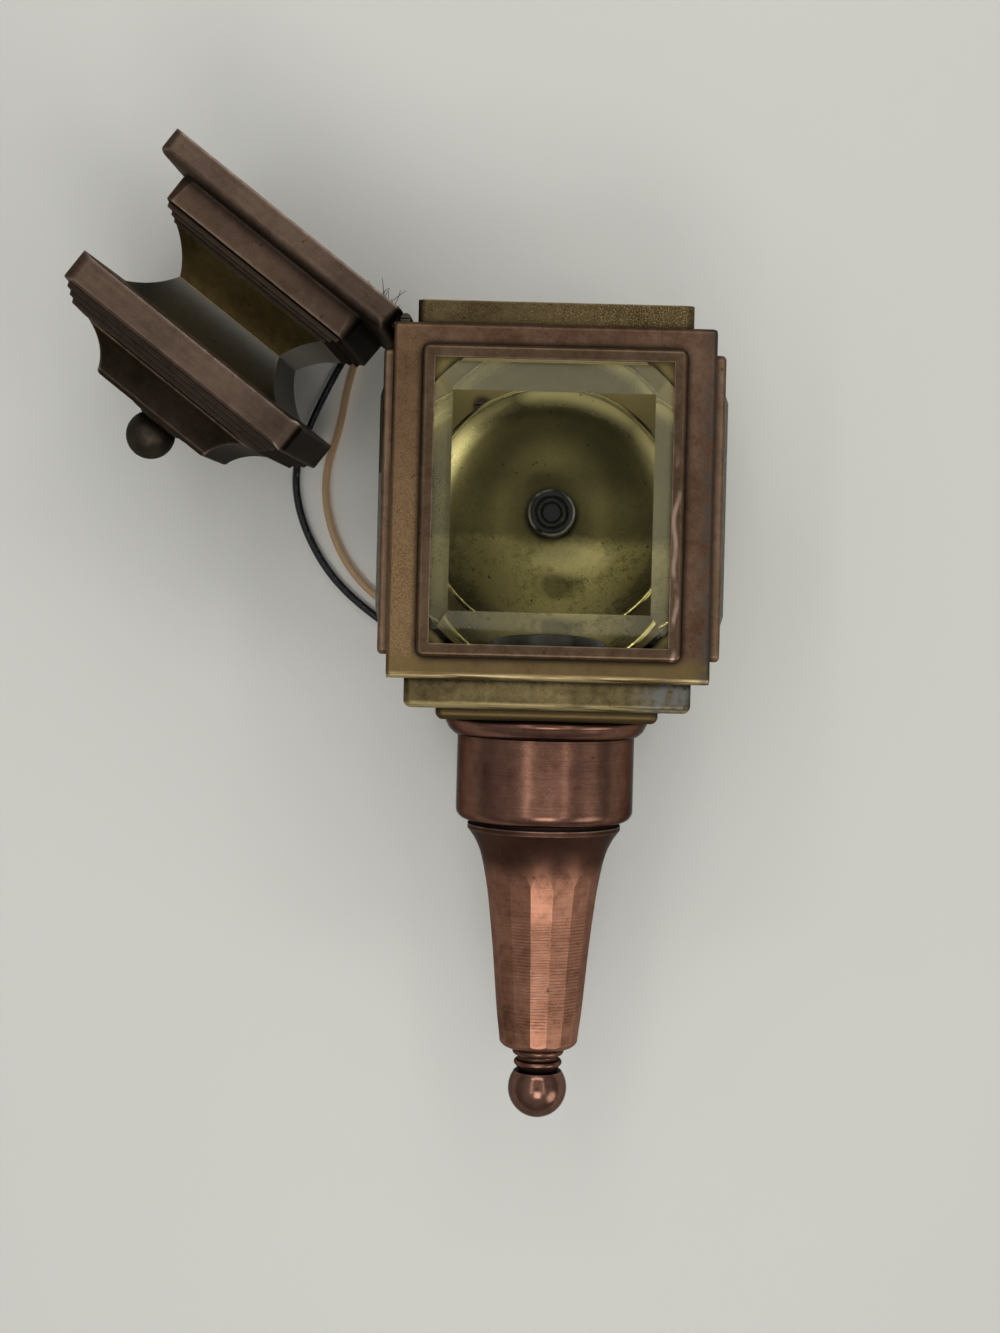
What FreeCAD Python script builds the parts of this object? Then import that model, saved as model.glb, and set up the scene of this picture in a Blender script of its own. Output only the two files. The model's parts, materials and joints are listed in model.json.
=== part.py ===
import FreeCAD, Part
import math
import os

# Carriage lantern for a wall, with its roof swung open to the left.
# Millimetres. The wall is the plane y = 0, the front faces -Y, +Z is up,
# and the origin is the middle of the wall strap.

V = FreeCAD.Vector

# Shared values
SHEET = 0.9               # brass sheet of the box and the roof
FIT = 0.05                # clearance of pieces fixed to each other
RUN = 0.05                # radial clearance of a turning fit
CLEAR = 0.35              # clearance between moving pieces

# Box
BODY_W = 82.7
BODY_TOP = 45.5
BODY_BOTTOM = -45.4
BACK_GAP = 4.65           # room behind the box for the lock nut and the strap
FRONT_RETURN = 3.0        # depth of the front plate's folded edge
FRONT_EDGE_R = 1.3
COLLAR_INSET = 5.65       # ledge round the collar
COLLAR_H = 6.5
COLLAR_WALL = 0.8
COLLAR_R = 2.5

# Windows
BEZEL_SIDE = 7.65         # from the box's edge to the bezel at the sides
BEZEL_END = 5.7           # and at its top and bottom
BEZEL_RISE = 3.0
BEZEL_LIP = 0.9
BEZEL_FOOT = 1.2
BEZEL_EDGE_R = 1.2
BEZEL_CORNER_R = 1.8
BAR_SIDE = 3.35           # width of the bezel's upright bars
BAR_END = 3.45
BEVEL_SIDE = 4.7          # width of the glass bevel inside the upright bars
BEVEL_END = 8.35
GLASS_PROUD = 1.3         # flat of the glass in front of the bezel
GLASS_BEVEL = 3.3         # rise of the bevel
GLASS_PLAY = 0.3
GLASS_TOP_SLOT = 0.7
GLASS_BOTTOM_LAP = 1.1
GLASS_CLIP = 7.4          # legs of the clipped corners
TAB_LEG = 16.0
TAB_LAP = 1.3             # hold of a tab on the wall behind the bezel
TAB_T = 0.8

# Foot
TRAY_INSET = 4.35
TRAY_H = 7.7
TRAY_R = 2.0
STEP_INSET = 7.9
STEP_H = 3.4
CUP_INSET = 4.8           # from the step's side to the cup
CUP_WALL = 1.0
CUP_FLOOR = 1.2
CUP_H = 28.5
CUP_PLAY = 0.2            # room round the cup in the foot's holes
BEAD_OUT = 3.35
LIP_INSET = 3.3           # from the cup's side to the tail's lip
TAIL_LIP_DROP = 1.2
TAIL_LIP_T = 1.3
THROAT_DROP = 8.3         # throat of the tail's flared top, below the cup
THROAT_R = 17.55
WAIST_DROP = 16.3
WAIST_R = 15.75
STAVE_DROP = 40.3
STAVE_R = 12.95
TAIL_H = 62.4
TAIL_END_R = 10.95
TAIL_EASE = 2.6           # height of the rounding at the tail's end
TAIL_EASE_IN = 2.8
STAVE_FLAT = 0.978        # flat of a stave from the axis, as a share of the round radius
STAVE_FADE = 1.03         # the same at the throat, where the flats run out
STAVE_RINGS = 10
TAIL_FACETS = 16
TAIL_WALL = 1.4
NECK_R = 6.7
NECK_H = 6.7
BALL_R = 8.05
BALL_DROP = 4.7           # centre of the ball below its flat
ROD_R = 3.0
ROD_SEAT = 1.0            # end of the rod below the holder's base
ROD_REACH = 2.6           # end of the rod past the ball's centre
NUT_AF = 10.0
NUT_T = 5.0

# Lampholder, medium screw
SHELL_R = 13.2            # bore of the screw shell
SHELL_T = 0.5
SHELL_PLAY = 0.2
SHELL_DROP = 5.5          # mouth of the shell below the holder's rim
HOLDER_WALL = 2.1
HOLDER_RISE = 16.4        # rim of the holder above the underside of the floor
HOLDER_DEPTH = 23.6
HOLDER_BASE_T = 5.0
POCKET_R = 8.5
POCKET_DEPTH = 2.4
BOSS_R = 6.5
BOSS_H = 6.0
TERMINAL_T = 1.0
TERMINAL_W = 5.0

# Reflector group, on the y axis
STRAP_W = 18.0
STRAP_END = 2.5           # metal beyond each slot
STRAP_T = 2.0
STRAP_R = 3.0
SLOT_SPACING = 70.0
SLOT_LENGTH = 12.0
SLOT_R = 2.5
STUD_R = 4.0
STUD_REACH = 10.2         # into the knob
LOCK_AF = 14.0
SPACER_R = 6.5
DISH_MARGIN = 5.55        # from the dish's edge to the outside of the box
DISH_STANDOFF = 9.65      # from the back wall to the flat under the knob
DISH_SEAT_R = 6.6
DISH_DEPTH = 13.7
DISH_T = 0.8
DISH_BOW = 0.09
KNOB_R = 6.8
KNOB_H = 16.2
GROUND_X = -21.2
GROUND_Z = 32.1
GROUND_R = 1.5
GROUND_HEAD_R = 2.25
GROUND_NUT_AF = 5.5

# Leads
LEAD_R = 1.2
LEAD_WALL_Y = -1.5        # the leads lie along the wall
EXIT_BLACK = (-8.2, -49.3)
EXIT_TAN = (-5.9, -47.4)
BUSH_R = 1.6
BUSH_FLANGE_R = 2.0
BUSH_FLANGE_T = 0.8
STRAND_R = 0.22
BLACK_ROUTE = ((-17.6, -46.9), (-34.5, -40.9), (-51.0, -31.9), (-65.5, -19.6), (-74.6, -3.2),
               (-77.0, 12.0), (-72.6, 25.5), (-66.5, 38.9), (-60.2, 50.5), (-55.4, 60.9))
TAN_ROUTE = ((-15.4, -44.6), (-32.0, -37.3), (-47.5, -28.5), (-59.5, -18.0), (-66.4, -3.8),
             (-67.9, 11.0), (-63.6, 24.6), (-61.6, 37.8), (-58.0, 49.4), (-51.9, 59.0))
BLACK_FAN = ((-24, 6.0), (-9, 7.2), (4, 8.0), (17, 6.4), (30, 4.8))
TAN_FAN = ((-20, 7.0), (-6, 10.0), (10, 8.5), (22, 9.5))
TAN_RISE = 0.32           # slope of the tan strands away from the wall, over the black ones

# Hinge, its axis along y
OPEN_ANGLE = 142.5
HINGE_OUT = 1.9           # axis outside the roof's rim
KNUCKLE_R = 1.5
KNUCKLES = 5
KNUCKLE_GAP = 0.2
HINGE_LENGTH = 64.0
LEAF_T = 0.6
LEAF_EDGE = 0.6           # fixed leaf past the axis
ROOF_LEAF_T = 0.9         # its face meets the box's upper edge when the roof is open
PIN_R = 0.8
PIN_HEAD_R = 1.25
PIN_HEAD_T = 0.7
PIN_SLOT_W = 0.5
PIN_SLOT_DEPTH = 0.35

# Roof
RIM_GAP = 0.3             # lower edge of the closed roof above the hinge leaf
RIM_PLAY = 0.7            # room round the collar
RIM_SIDE = 4.6
RIM_H = 7.7
RIM_CORNER_R = 3.0
RIM_LEDGE = 7.0
BLOCK_H = 11.3
BLOCK_CORNER_R = 4.0
WAIST_HALF = 17.0
WAIST_RISE = 10.0
NECK_LOW_BOW = 0.067
NECK_HIGH_BOW = 0.076
HOOD_RISE = 10.4          # underside of the hood above the waist
HOOD_HALF = 36.5
HOOD_BAND_H = 8.6
HOOD_STEPS_H = 4.7
HOOD_CORNER_R = 4.0
CAP_INSET = 9.8
CAP_H = 10.1
CAP_FLAT_HALF = 17.0
CAP_BOW = 0.107
WASHER_R = 10.0
WASHER_T = 1.4
FINIAL_R = 6.7
FINIAL_UP = 3.7           # centre of the ball above the washer
FINIAL_STUD_R = 2.0
FINIAL_NUT_AF = 7.0
FINIAL_NUT_T = 3.2

# Derived values: box and windows
HALF = BODY_W / 2
BACK_Y = -BACK_GAP
AXIS_Y = BACK_Y - HALF    # upright axis of the lantern
FRONT_Y = AXIS_Y - HALF
JOIN_Y = FRONT_Y + FRONT_RETURN
WALL_LOW = BODY_BOTTOM + SHEET
WALL_HIGH = BODY_TOP - SHEET
WINDOW_Z = (BODY_TOP + BODY_BOTTOM) / 2
COLLAR_HALF = HALF - COLLAR_INSET
BEZEL_W = BODY_W - 2 * BEZEL_SIDE
BEZEL_H = BODY_TOP - BODY_BOTTOM - 2 * BEZEL_END
SIGHT_W = BEZEL_W - 2 * BAR_SIDE
SIGHT_H = BEZEL_H - 2 * BAR_END
GLASS_FACE_W = SIGHT_W - 2 * BEVEL_SIDE
GLASS_FACE_H = SIGHT_H - 2 * BEVEL_END
REBATE_W = BEZEL_W - 2 * BEZEL_FOOT
REBATE_H = BEZEL_H - 2 * BEZEL_FOOT

# Foot and lampholder
TRAY_HALF = HALF - TRAY_INSET
TRAY_BACK_Y = AXIS_Y + TRAY_HALF
TRAY_BOTTOM = BODY_BOTTOM - TRAY_H
STEP_HALF = TRAY_HALF - STEP_INSET
STEP_BOTTOM = TRAY_BOTTOM - STEP_H
CUP_R = STEP_HALF - CUP_INSET
FOOT_HOLE_R = CUP_R + CUP_PLAY
BEAD_R = CUP_R + BEAD_OUT
CUP_BOTTOM = STEP_BOTTOM - CUP_H
TAIL_LIP_R = CUP_R - LIP_INSET
TAIL_END = CUP_BOTTOM - TAIL_H
NECK_END = TAIL_END - NECK_H
BALL_Z = NECK_END - BALL_DROP
HOLDER_BORE_R = SHELL_R + SHELL_T + SHELL_PLAY
HOLDER_R = HOLDER_BORE_R + HOLDER_WALL
HOLDER_TOP = BODY_BOTTOM + HOLDER_RISE
HOLDER_SEAT = HOLDER_TOP - HOLDER_DEPTH
HOLDER_FLOOR = HOLDER_SEAT - POCKET_DEPTH
HOLDER_BASE = HOLDER_FLOOR - HOLDER_BASE_T
BOSS_BOTTOM = HOLDER_BASE - BOSS_H
SHELL_TOP = HOLDER_TOP - SHELL_DROP
ROD_TOP = HOLDER_BASE - ROD_SEAT
ROD_BOTTOM = BALL_Z - ROD_REACH

# Reflector group
STRAP_H = SLOT_SPACING + SLOT_LENGTH + 2 * STRAP_END
DISH_R = HALF - DISH_MARGIN
DISH_SEAT_Y = BACK_Y - DISH_STANDOFF
DISH_RIM_Y = DISH_SEAT_Y - DISH_DEPTH
STUD_END = DISH_SEAT_Y - STUD_REACH
KNOB_END = DISH_SEAT_Y - KNOB_H

# Hinge and roof, with heights above the roof's lower edge
RIM_HALF = COLLAR_HALF + RIM_PLAY + COLLAR_WALL
HINGE_X = -RIM_HALF - HINGE_OUT
HINGE_Z = BODY_TOP + KNUCKLE_R + CLEAR
RIM_Z = BODY_TOP + LEAF_T + RIM_GAP
BLOCK_HALF = RIM_HALF - RIM_LEDGE
BLOCK_TOP = RIM_H + BLOCK_H
WAIST_H = BLOCK_TOP + WAIST_RISE
HOOD_UNDER = WAIST_H + HOOD_RISE
HOOD_BAND = HOOD_UNDER + HOOD_BAND_H
HOOD_TOP = HOOD_BAND + HOOD_STEPS_H
CAP_FOOT_HALF = HOOD_HALF - CAP_INSET
CAP_TOP = HOOD_TOP + CAP_H
FINIAL_H = CAP_TOP + WASHER_T + FINIAL_UP


def box(x0, x1, y0, y1, z0, z1):
    return Part.makeBox(x1 - x0, y1 - y0, z1 - z0, V(x0, y0, z0))


def rod(radius, start, end):
    """Cylinder from one point to another."""
    along = end - start
    return Part.makeCylinder(radius, along.Length, start, along)


def outline(start, steps):
    """Edges in the XZ plane: a step is a point for a line, or (middle, end) for an arc."""
    edges = []
    here = V(start[0], 0, start[1])
    for step in steps:
        if isinstance(step[0], tuple):
            middle = V(step[0][0], 0, step[0][1])
            there = V(step[1][0], 0, step[1][1])
            edges.append(Part.Arc(here, middle, there).toShape())
        else:
            there = V(step[0], 0, step[1])
            edges.append(Part.makeLine(here, there))
        here = there
    return edges


def bowed(start, end, bow):
    """Arc step to end, whose middle leaves the chord to its left by bow times its length."""
    along = end[0] - start[0]
    up = end[1] - start[1]
    middle = (start[0] + along / 2 - bow * up, start[1] + up / 2 + bow * along)
    return middle, end


def closed_face(edges):
    return Part.Face(Part.Wire(Part.sortEdges(edges)[0]))


def spun(edges):
    """Closed outline of (radius, z) edges turned round the lantern's upright axis."""
    solid = closed_face(edges).revolve(V(0, 0, 0), V(0, 0, 1), 360)
    return solid.translated(V(0, AXIS_Y, 0))


def turned(start, steps):
    return spun(outline(start, list(steps) + [start]))


def turned_from_wall(start, steps):
    """Closed (radius, distance from the wall) outline turned round the y axis."""
    face = closed_face(outline(start, list(steps) + [start]))
    solid = face.revolve(V(0, 0, 0), V(0, 0, 1), 360)
    return solid.rotated(V(0, 0, 0), V(1, 0, 0), 90)


def rounded_square(half, radius, z0, z1):
    """Upright square column round the lantern's axis, with rounded corners."""
    column = box(-half, half, AXIS_Y - half, AXIS_Y + half, z0, z1)
    upright = [e for e in column.Edges if abs(e.Vertexes[0].Z - e.Vertexes[1].Z) > 1e-6]
    return column.makeFillet(radius, upright)


def hexagon(flats, start, end):
    """Hexagon bar from one point to another."""
    along = end - start
    reach = flats / math.sqrt(3)
    turns = [math.radians(a) for a in range(0, 361, 60)]
    plan = Part.makePolygon([V(reach * math.cos(a), reach * math.sin(a), 0) for a in turns])
    bar = Part.Face(plan).extrude(V(0, 0, along.Length))
    bar.Placement = FreeCAD.Placement(start, FreeCAD.Rotation(V(0, 0, 1), along))
    return bar


# Windows, made in a frame with the wall's outer face at y = 0 and -Y outward

def window_opening():
    return box(-REBATE_W / 2, REBATE_W / 2, -1, 3 * SHEET, -REBATE_H / 2, REBATE_H / 2)


def bezel():
    """Raised frame with rounded edges and a lip in front of the glass."""
    block = box(-BEZEL_W / 2, BEZEL_W / 2, -BEZEL_RISE, 0, -BEZEL_H / 2, BEZEL_H / 2)
    corners = [e for e in block.Edges if abs(e.Vertexes[0].Y - e.Vertexes[1].Y) > 1e-6]
    block = block.makeFillet(BEZEL_CORNER_R, corners)
    rim = [e for e in block.Edges if all(abs(v.Y + BEZEL_RISE) < 1e-6 for v in e.Vertexes)]
    block = block.makeFillet(BEZEL_EDGE_R, rim)
    sight = box(-SIGHT_W / 2, SIGHT_W / 2, -BEZEL_RISE - 1, 1, -SIGHT_H / 2, SIGHT_H / 2)
    rebate = box(-REBATE_W / 2, REBATE_W / 2, BEZEL_LIP - BEZEL_RISE, 1, -REBATE_H / 2, REBATE_H / 2)
    return block.cut(sight).cut(rebate)


def rectangle(half_w, low, high, y):
    return Part.makePolygon([V(-half_w, y, low), V(half_w, y, low), V(half_w, y, high), V(-half_w, y, high),
                             V(-half_w, y, low)])


def glass():
    """Thick pane, bevelled all round to a thin edge, its corners clipped."""
    half_w = REBATE_W / 2 - GLASS_PLAY
    low = -SIGHT_H / 2 - GLASS_BOTTOM_LAP
    high = SIGHT_H / 2 - GLASS_TOP_SLOT
    face_y = -BEZEL_RISE - GLASS_PROUD
    edge_y = face_y + GLASS_BEVEL
    edge = box(-half_w, half_w, edge_y, SHEET, low, high)
    foot = rectangle(half_w, low, high, edge_y)
    flat = rectangle(GLASS_FACE_W / 2, -GLASS_FACE_H / 2, GLASS_FACE_H / 2, face_y)
    bevel = Part.makeLoft([foot, flat], True, True)
    pane = edge.fuse(bevel).removeSplitter()
    clip = GLASS_CLIP
    corners = [(-half_w + clip, low), (half_w - clip, low), (half_w, low + clip), (half_w, high - clip),
               (half_w - clip, high), (-half_w + clip, high), (-half_w, high - clip), (-half_w, low + clip)]
    plan = Part.makePolygon([V(x, face_y - 1, z) for x, z in corners + corners[:1]])
    return pane.common(Part.Face(plan).extrude(V(0, SHEET - face_y + 2, 0)))


def corner_tabs():
    """Four triangular tabs that bridge wall and glass behind the clipped corners."""
    reach = BEZEL_FOOT + TAB_LAP
    tabs = []
    for sx in (-1, 1):
        for sz in (-1, 1):
            x = sx * (REBATE_W / 2 + reach)
            z = sz * (REBATE_H / 2 + reach)
            corner = V(x, SHEET, z)
            plan = Part.makePolygon([corner, corner - V(sx * TAB_LEG, 0, 0), corner - V(0, 0, sz * TAB_LEG),
                                     corner])
            tabs.append(Part.Face(plan).extrude(V(0, TAB_T, 0)))
    return Part.makeCompound(tabs)


def placed(shape, side):
    """Window piece moved from its own frame to the front, left or right wall."""
    turn = {"front": 0, "right": 90, "left": -90}[side]
    at = {"front": V(0, FRONT_Y, WINDOW_Z), "right": V(HALF, AXIS_Y, WINDOW_Z),
          "left": V(-HALF, AXIS_Y, WINDOW_Z)}[side]
    moved = shape.copy()
    moved.Placement = FreeCAD.Placement(at, FreeCAD.Rotation(V(0, 0, 1), turn))
    return moved


# Box

def front_plate():
    """Pressed pan: face with a window and a folded edge with rounded corners."""
    pan = box(-HALF, HALF, FRONT_Y, JOIN_Y, BODY_BOTTOM, BODY_TOP)
    corners = [e for e in pan.Edges if abs(e.Vertexes[0].Y - e.Vertexes[1].Y) > 1e-6]
    pan = pan.makeFillet(FRONT_EDGE_R, corners)
    rim = [e for e in pan.Edges if all(abs(v.Y - FRONT_Y) < 1e-6 for v in e.Vertexes)]
    pan = pan.makeFillet(FRONT_EDGE_R, rim)
    hollow = box(-HALF + SHEET, HALF - SHEET, FRONT_Y + SHEET, JOIN_Y + 1, WALL_LOW, WALL_HIGH)
    return pan.cut(hollow).cut(placed(window_opening(), "front"))


def side_wall(side):
    sx = {"left": -1, "right": 1}[side]
    inner, outer = sorted((sx * (HALF - SHEET), sx * HALF))
    wall = box(inner, outer, JOIN_Y, BACK_Y, WALL_LOW, WALL_HIGH)
    return wall.cut(placed(window_opening(), side))


def back_wall():
    wall = box(-HALF + SHEET, HALF - SHEET, BACK_Y - SHEET, BACK_Y, WALL_LOW, WALL_HIGH)
    wall = wall.cut(rod(STUD_R + FIT, V(0, BACK_Y - 5, 0), V(0, BACK_Y + 5, 0)))
    return wall.cut(rod(GROUND_R + FIT, V(GROUND_X, BACK_Y - 5, GROUND_Z), V(GROUND_X, BACK_Y + 5, GROUND_Z)))


def top_plate():
    half = COLLAR_HALF - COLLAR_WALL
    plate = box(-HALF, HALF, JOIN_Y, BACK_Y, WALL_HIGH, BODY_TOP)
    return plate.cut(rounded_square(half, COLLAR_R - COLLAR_WALL, WALL_HIGH - 1, BODY_TOP + 1))


def floor_plate():
    plate = box(-HALF, HALF, JOIN_Y, BACK_Y, BODY_BOTTOM, WALL_LOW)
    return plate.cut(rod(HOLDER_R + FIT, V(0, AXIS_Y, BODY_BOTTOM - 1), V(0, AXIS_Y, WALL_LOW + 1)))


def collar():
    top = BODY_TOP + COLLAR_H
    half = COLLAR_HALF
    outer = rounded_square(half, COLLAR_R, BODY_TOP, top)
    return outer.cut(rounded_square(half - COLLAR_WALL, COLLAR_R - COLLAR_WALL, BODY_TOP - 1, top + 1))


# Foot

def square_dish(half, corner, low, high):
    """Square block with rounded upright corners and a rounded lower edge."""
    block = rounded_square(half, corner, low, high)
    rim = [e for e in block.Edges if all(abs(v.Z - low) < 1e-6 for v in e.Vertexes)]
    return block.makeFillet(corner, rim)


def bush_prism(radius, y0, y1):
    """Oval bar round both lead exits."""
    black = V(EXIT_BLACK[0], y0, EXIT_BLACK[1])
    tan = V(EXIT_TAN[0], y0, EXIT_TAN[1])
    across = (tan - black).cross(V(0, 1, 0)).normalize() * radius
    slab = Part.Face(Part.makePolygon([black - across, tan - across, tan + across, black + across,
                                       black - across])).extrude(V(0, y1 - y0, 0))
    ends = [rod(radius, p, p + V(0, y1 - y0, 0)) for p in (black, tan)]
    return slab.fuse(ends).removeSplitter()


def base_tray():
    """Shallow square pan, open to the floor plate, with the wire exit in its back."""
    pan = square_dish(TRAY_HALF, TRAY_R, TRAY_BOTTOM, BODY_BOTTOM)
    hollow = rounded_square(TRAY_HALF - SHEET, TRAY_R - SHEET, TRAY_BOTTOM + SHEET, BODY_BOTTOM + 1)
    pan = pan.cut(hollow)
    pan = pan.cut(rod(FOOT_HOLE_R, V(0, AXIS_Y, TRAY_BOTTOM - 1), V(0, AXIS_Y, BODY_BOTTOM)))
    return pan.cut(bush_prism(BUSH_R + FIT, TRAY_BACK_Y - 3, TRAY_BACK_Y + 1))


def wire_bushing():
    flange = bush_prism(BUSH_FLANGE_R, TRAY_BACK_Y, TRAY_BACK_Y + BUSH_FLANGE_T)
    return flange.fuse(bush_prism(BUSH_R, TRAY_BACK_Y - SHEET - 1, TRAY_BACK_Y)).removeSplitter()


def base_step():
    block = square_dish(STEP_HALF, TRAY_R, STEP_BOTTOM, TRAY_BOTTOM)
    return block.cut(rod(FOOT_HOLE_R, V(0, AXIS_Y, STEP_BOTTOM - 1), V(0, AXIS_Y, TRAY_BOTTOM + 1)))


def socket_cup():
    """Spun cup with a rolled bead at its mouth."""
    inner = CUP_R - CUP_WALL
    floor = CUP_BOTTOM + CUP_FLOOR
    cup = turned((inner, STEP_BOTTOM), [
        (BEAD_R - 0.8, STEP_BOTTOM),
        ((BEAD_R, STEP_BOTTOM - 1.1), (BEAD_R - 0.3, STEP_BOTTOM - 2.4)),
        ((BEAD_R - 1.4, STEP_BOTTOM - 4.2), (CUP_R, STEP_BOTTOM - 5.5)),
        (CUP_R, CUP_BOTTOM + 3.0),
        ((CUP_R - 0.88, CUP_BOTTOM + 0.88), (CUP_R - 3.0, CUP_BOTTOM)),
        (ROD_R + FIT, CUP_BOTTOM),
        (ROD_R + FIT, floor),
        (inner - 2.0, floor),
        ((inner - 0.59, floor + 0.59), (inner, floor + 2.0))])
    return cup


def facet_ring(flat, z):
    """Regular ring of staves, with its flats at the given distance from the axis."""
    turn = 360.0 / TAIL_FACETS
    radius = flat / math.cos(math.radians(turn / 2))
    corners = [V(radius * math.cos(math.radians((i + 0.5) * turn)),
                 AXIS_Y + radius * math.sin(math.radians((i + 0.5) * turn)), z) for i in range(TAIL_FACETS)]
    return Part.makePolygon(corners + corners[:1])


def stave_flats(curve, throat_z, waist_z):
    """Many-sided form that follows the tail's curve and parts from it between waist and throat.

    Its flats lie just inside the round tail below the waist and outside it above the throat,
    so that each stave runs out in an arch on the flare."""
    rings = [facet_ring(TAIL_LIP_R * 1.2, CUP_BOTTOM + 2)]
    first, last = curve.FirstParameter, curve.LastParameter
    for i in range(STAVE_RINGS + 1):
        at = curve.value(first + (last - first) * i / STAVE_RINGS)
        fade = (at.z - waist_z) / (throat_z - waist_z)
        share = STAVE_FLAT + (STAVE_FADE - STAVE_FLAT) * max(fade, 0.0)
        rings.append(facet_ring(at.x * share, at.z))
    rings.append(facet_ring(TAIL_END_R * STAVE_FLAT, TAIL_END - 1))
    return Part.makeLoft(rings, True, False)


def tail():
    """Flared top that passes into a hollow tapering shaft of flat-faced staves."""
    end_r = TAIL_END_R
    lip_top = CUP_BOTTOM - TAIL_LIP_DROP
    lip = (TAIL_LIP_R, lip_top - TAIL_LIP_T)
    throat = (THROAT_R, CUP_BOTTOM - THROAT_DROP)
    waist = (WAIST_R, CUP_BOTTOM - WAIST_DROP)
    stave = (STAVE_R, CUP_BOTTOM - STAVE_DROP)
    foot = (end_r, TAIL_END + TAIL_EASE)
    curve = Part.BSplineCurve()
    curve.interpolate([V(r, 0, z) for r, z in (lip, throat, waist, stave, foot)])
    top = outline((0, CUP_BOTTOM), [
        (TAIL_LIP_R - 1.0, CUP_BOTTOM),
        (TAIL_LIP_R - 1.0, lip_top),
        (TAIL_LIP_R, lip_top),
        lip])
    ease = Part.BSplineCurve()
    ease.interpolate([V(end_r - TAIL_EASE_IN * (1 - math.cos(a)), 0, TAIL_END + TAIL_EASE * (1 - math.sin(a)))
                      for a in (0, math.pi / 6, math.pi / 3, math.pi / 2)])
    end = outline((end_r - TAIL_EASE_IN, TAIL_END), [(0, TAIL_END), (0, CUP_BOTTOM)])
    rounded = spun(top + [curve.toShape(), ease.toShape()] + end)
    whole = rounded.common(stave_flats(curve, throat[1], waist[1]))
    bore = turned((ROD_R + FIT, CUP_BOTTOM - 1.6), [
        (TAIL_LIP_R - 3.0, CUP_BOTTOM - 1.6),
        (THROAT_R - TAIL_WALL, throat[1]),
        (WAIST_R - TAIL_WALL, waist[1]),
        (end_r - TAIL_WALL - 1.0, TAIL_END + TAIL_EASE),
        (ROD_R + FIT, TAIL_END + TAIL_EASE)])
    return whole.cut(bore).cut(rod(ROD_R + FIT, V(0, AXIS_Y, TAIL_END - 1), V(0, AXIS_Y, CUP_BOTTOM + 1)))


def neck():
    """Turned neck with two rings."""
    hole = ROD_R + FIT
    return turned((hole, TAIL_END), [
        (NECK_R, TAIL_END),
        ((NECK_R + 0.4, TAIL_END - 1.0), (NECK_R, TAIL_END - 2.0)),
        ((NECK_R - 1.1, TAIL_END - 2.8), (NECK_R - 0.6, TAIL_END - 3.5)),
        ((NECK_R - 0.1, TAIL_END - 4.3), (NECK_R - 0.6, TAIL_END - 5.1)),
        (NECK_R - 1.5, NECK_END),
        (hole, NECK_END)])


def cut_ball(radius, centre, plane, upward):
    """Ball standing on, or hanging from, a flat at the given height."""
    ball = Part.makeSphere(radius, V(0, AXIS_Y, centre))
    far = centre + upward * (radius + 1)
    low, high = sorted((plane, far))
    side = 2 * radius
    return ball.common(box(-side, side, AXIS_Y - side, AXIS_Y + side, low, high))


def tail_ball():
    ball = cut_ball(BALL_R, BALL_Z, NECK_END, -1)
    return ball.cut(rod(ROD_R + FIT, V(0, AXIS_Y, ROD_BOTTOM), V(0, AXIS_Y, NECK_END + 1)))


def tie_rod():
    return rod(ROD_R, V(0, AXIS_Y, ROD_BOTTOM), V(0, AXIS_Y, ROD_TOP))


def tie_nut():
    low = CUP_BOTTOM + CUP_FLOOR
    nut = hexagon(NUT_AF, V(0, AXIS_Y, low), V(0, AXIS_Y, low + NUT_T))
    return nut.cut(rod(ROD_R + FIT, V(0, AXIS_Y, low - 1), V(0, AXIS_Y, low + NUT_T + 1)))


# Lamp

def holder_body():
    """Moulded cup for the screw shell, with a threaded boss below."""
    hole = ROD_R + FIT
    return turned((0, HOLDER_FLOOR), [
        (POCKET_R, HOLDER_FLOOR),
        (POCKET_R, HOLDER_SEAT),
        (HOLDER_BORE_R, HOLDER_SEAT),
        (HOLDER_BORE_R, HOLDER_TOP),
        (HOLDER_R - 0.8, HOLDER_TOP),
        ((HOLDER_R - 0.23, HOLDER_TOP - 0.23), (HOLDER_R, HOLDER_TOP - 0.8)),
        (HOLDER_R, HOLDER_BASE),
        (BOSS_R, HOLDER_BASE),
        (BOSS_R, BOSS_BOTTOM),
        (hole, BOSS_BOTTOM),
        (hole, ROD_TOP),
        (0, ROD_TOP)])


def screw_shell():
    """Brass shell with a rolled mouth and a flat foot on the holder's seat."""
    outer = SHELL_R + SHELL_T
    return turned((POCKET_R, HOLDER_SEAT), [
        (outer, HOLDER_SEAT),
        (outer, SHELL_TOP - 0.25),
        ((SHELL_R + SHELL_T / 2, SHELL_TOP), (SHELL_R, SHELL_TOP - 0.25)),
        (SHELL_R, HOLDER_SEAT + SHELL_T),
        (POCKET_R, HOLDER_SEAT + SHELL_T)])


def centre_contact():
    """Contact disc with a raised button."""
    return turned((0, HOLDER_FLOOR), [
        (4.5, HOLDER_FLOOR),
        (4.5, HOLDER_FLOOR + 0.8),
        (3.0, HOLDER_FLOOR + 0.8),
        (2.2, HOLDER_FLOOR + 1.9),
        (0, HOLDER_FLOOR + 1.9)])


def lead_foot(exit_point):
    """Plan position where an inner lead stands, in the gap between holder and cup."""
    ring = (HOLDER_R + CUP_R - CUP_WALL) / 2
    return exit_point[0], AXIS_Y + math.sqrt(ring ** 2 - exit_point[0] ** 2)


def terminals():
    """One plate under the holder for each lead, kept apart."""
    plates = []
    for exit_point, side in ((EXIT_BLACK, -1), (EXIT_TAN, 1)):
        x, y = lead_foot(exit_point)
        edge = x - side * 1.15
        low_x, high_x = sorted((edge, edge + side * TERMINAL_W))
        plates.append(box(low_x, high_x, AXIS_Y + 9.0, y + 1.8, HOLDER_BASE - TERMINAL_T, HOLDER_BASE))
    return plates


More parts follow.
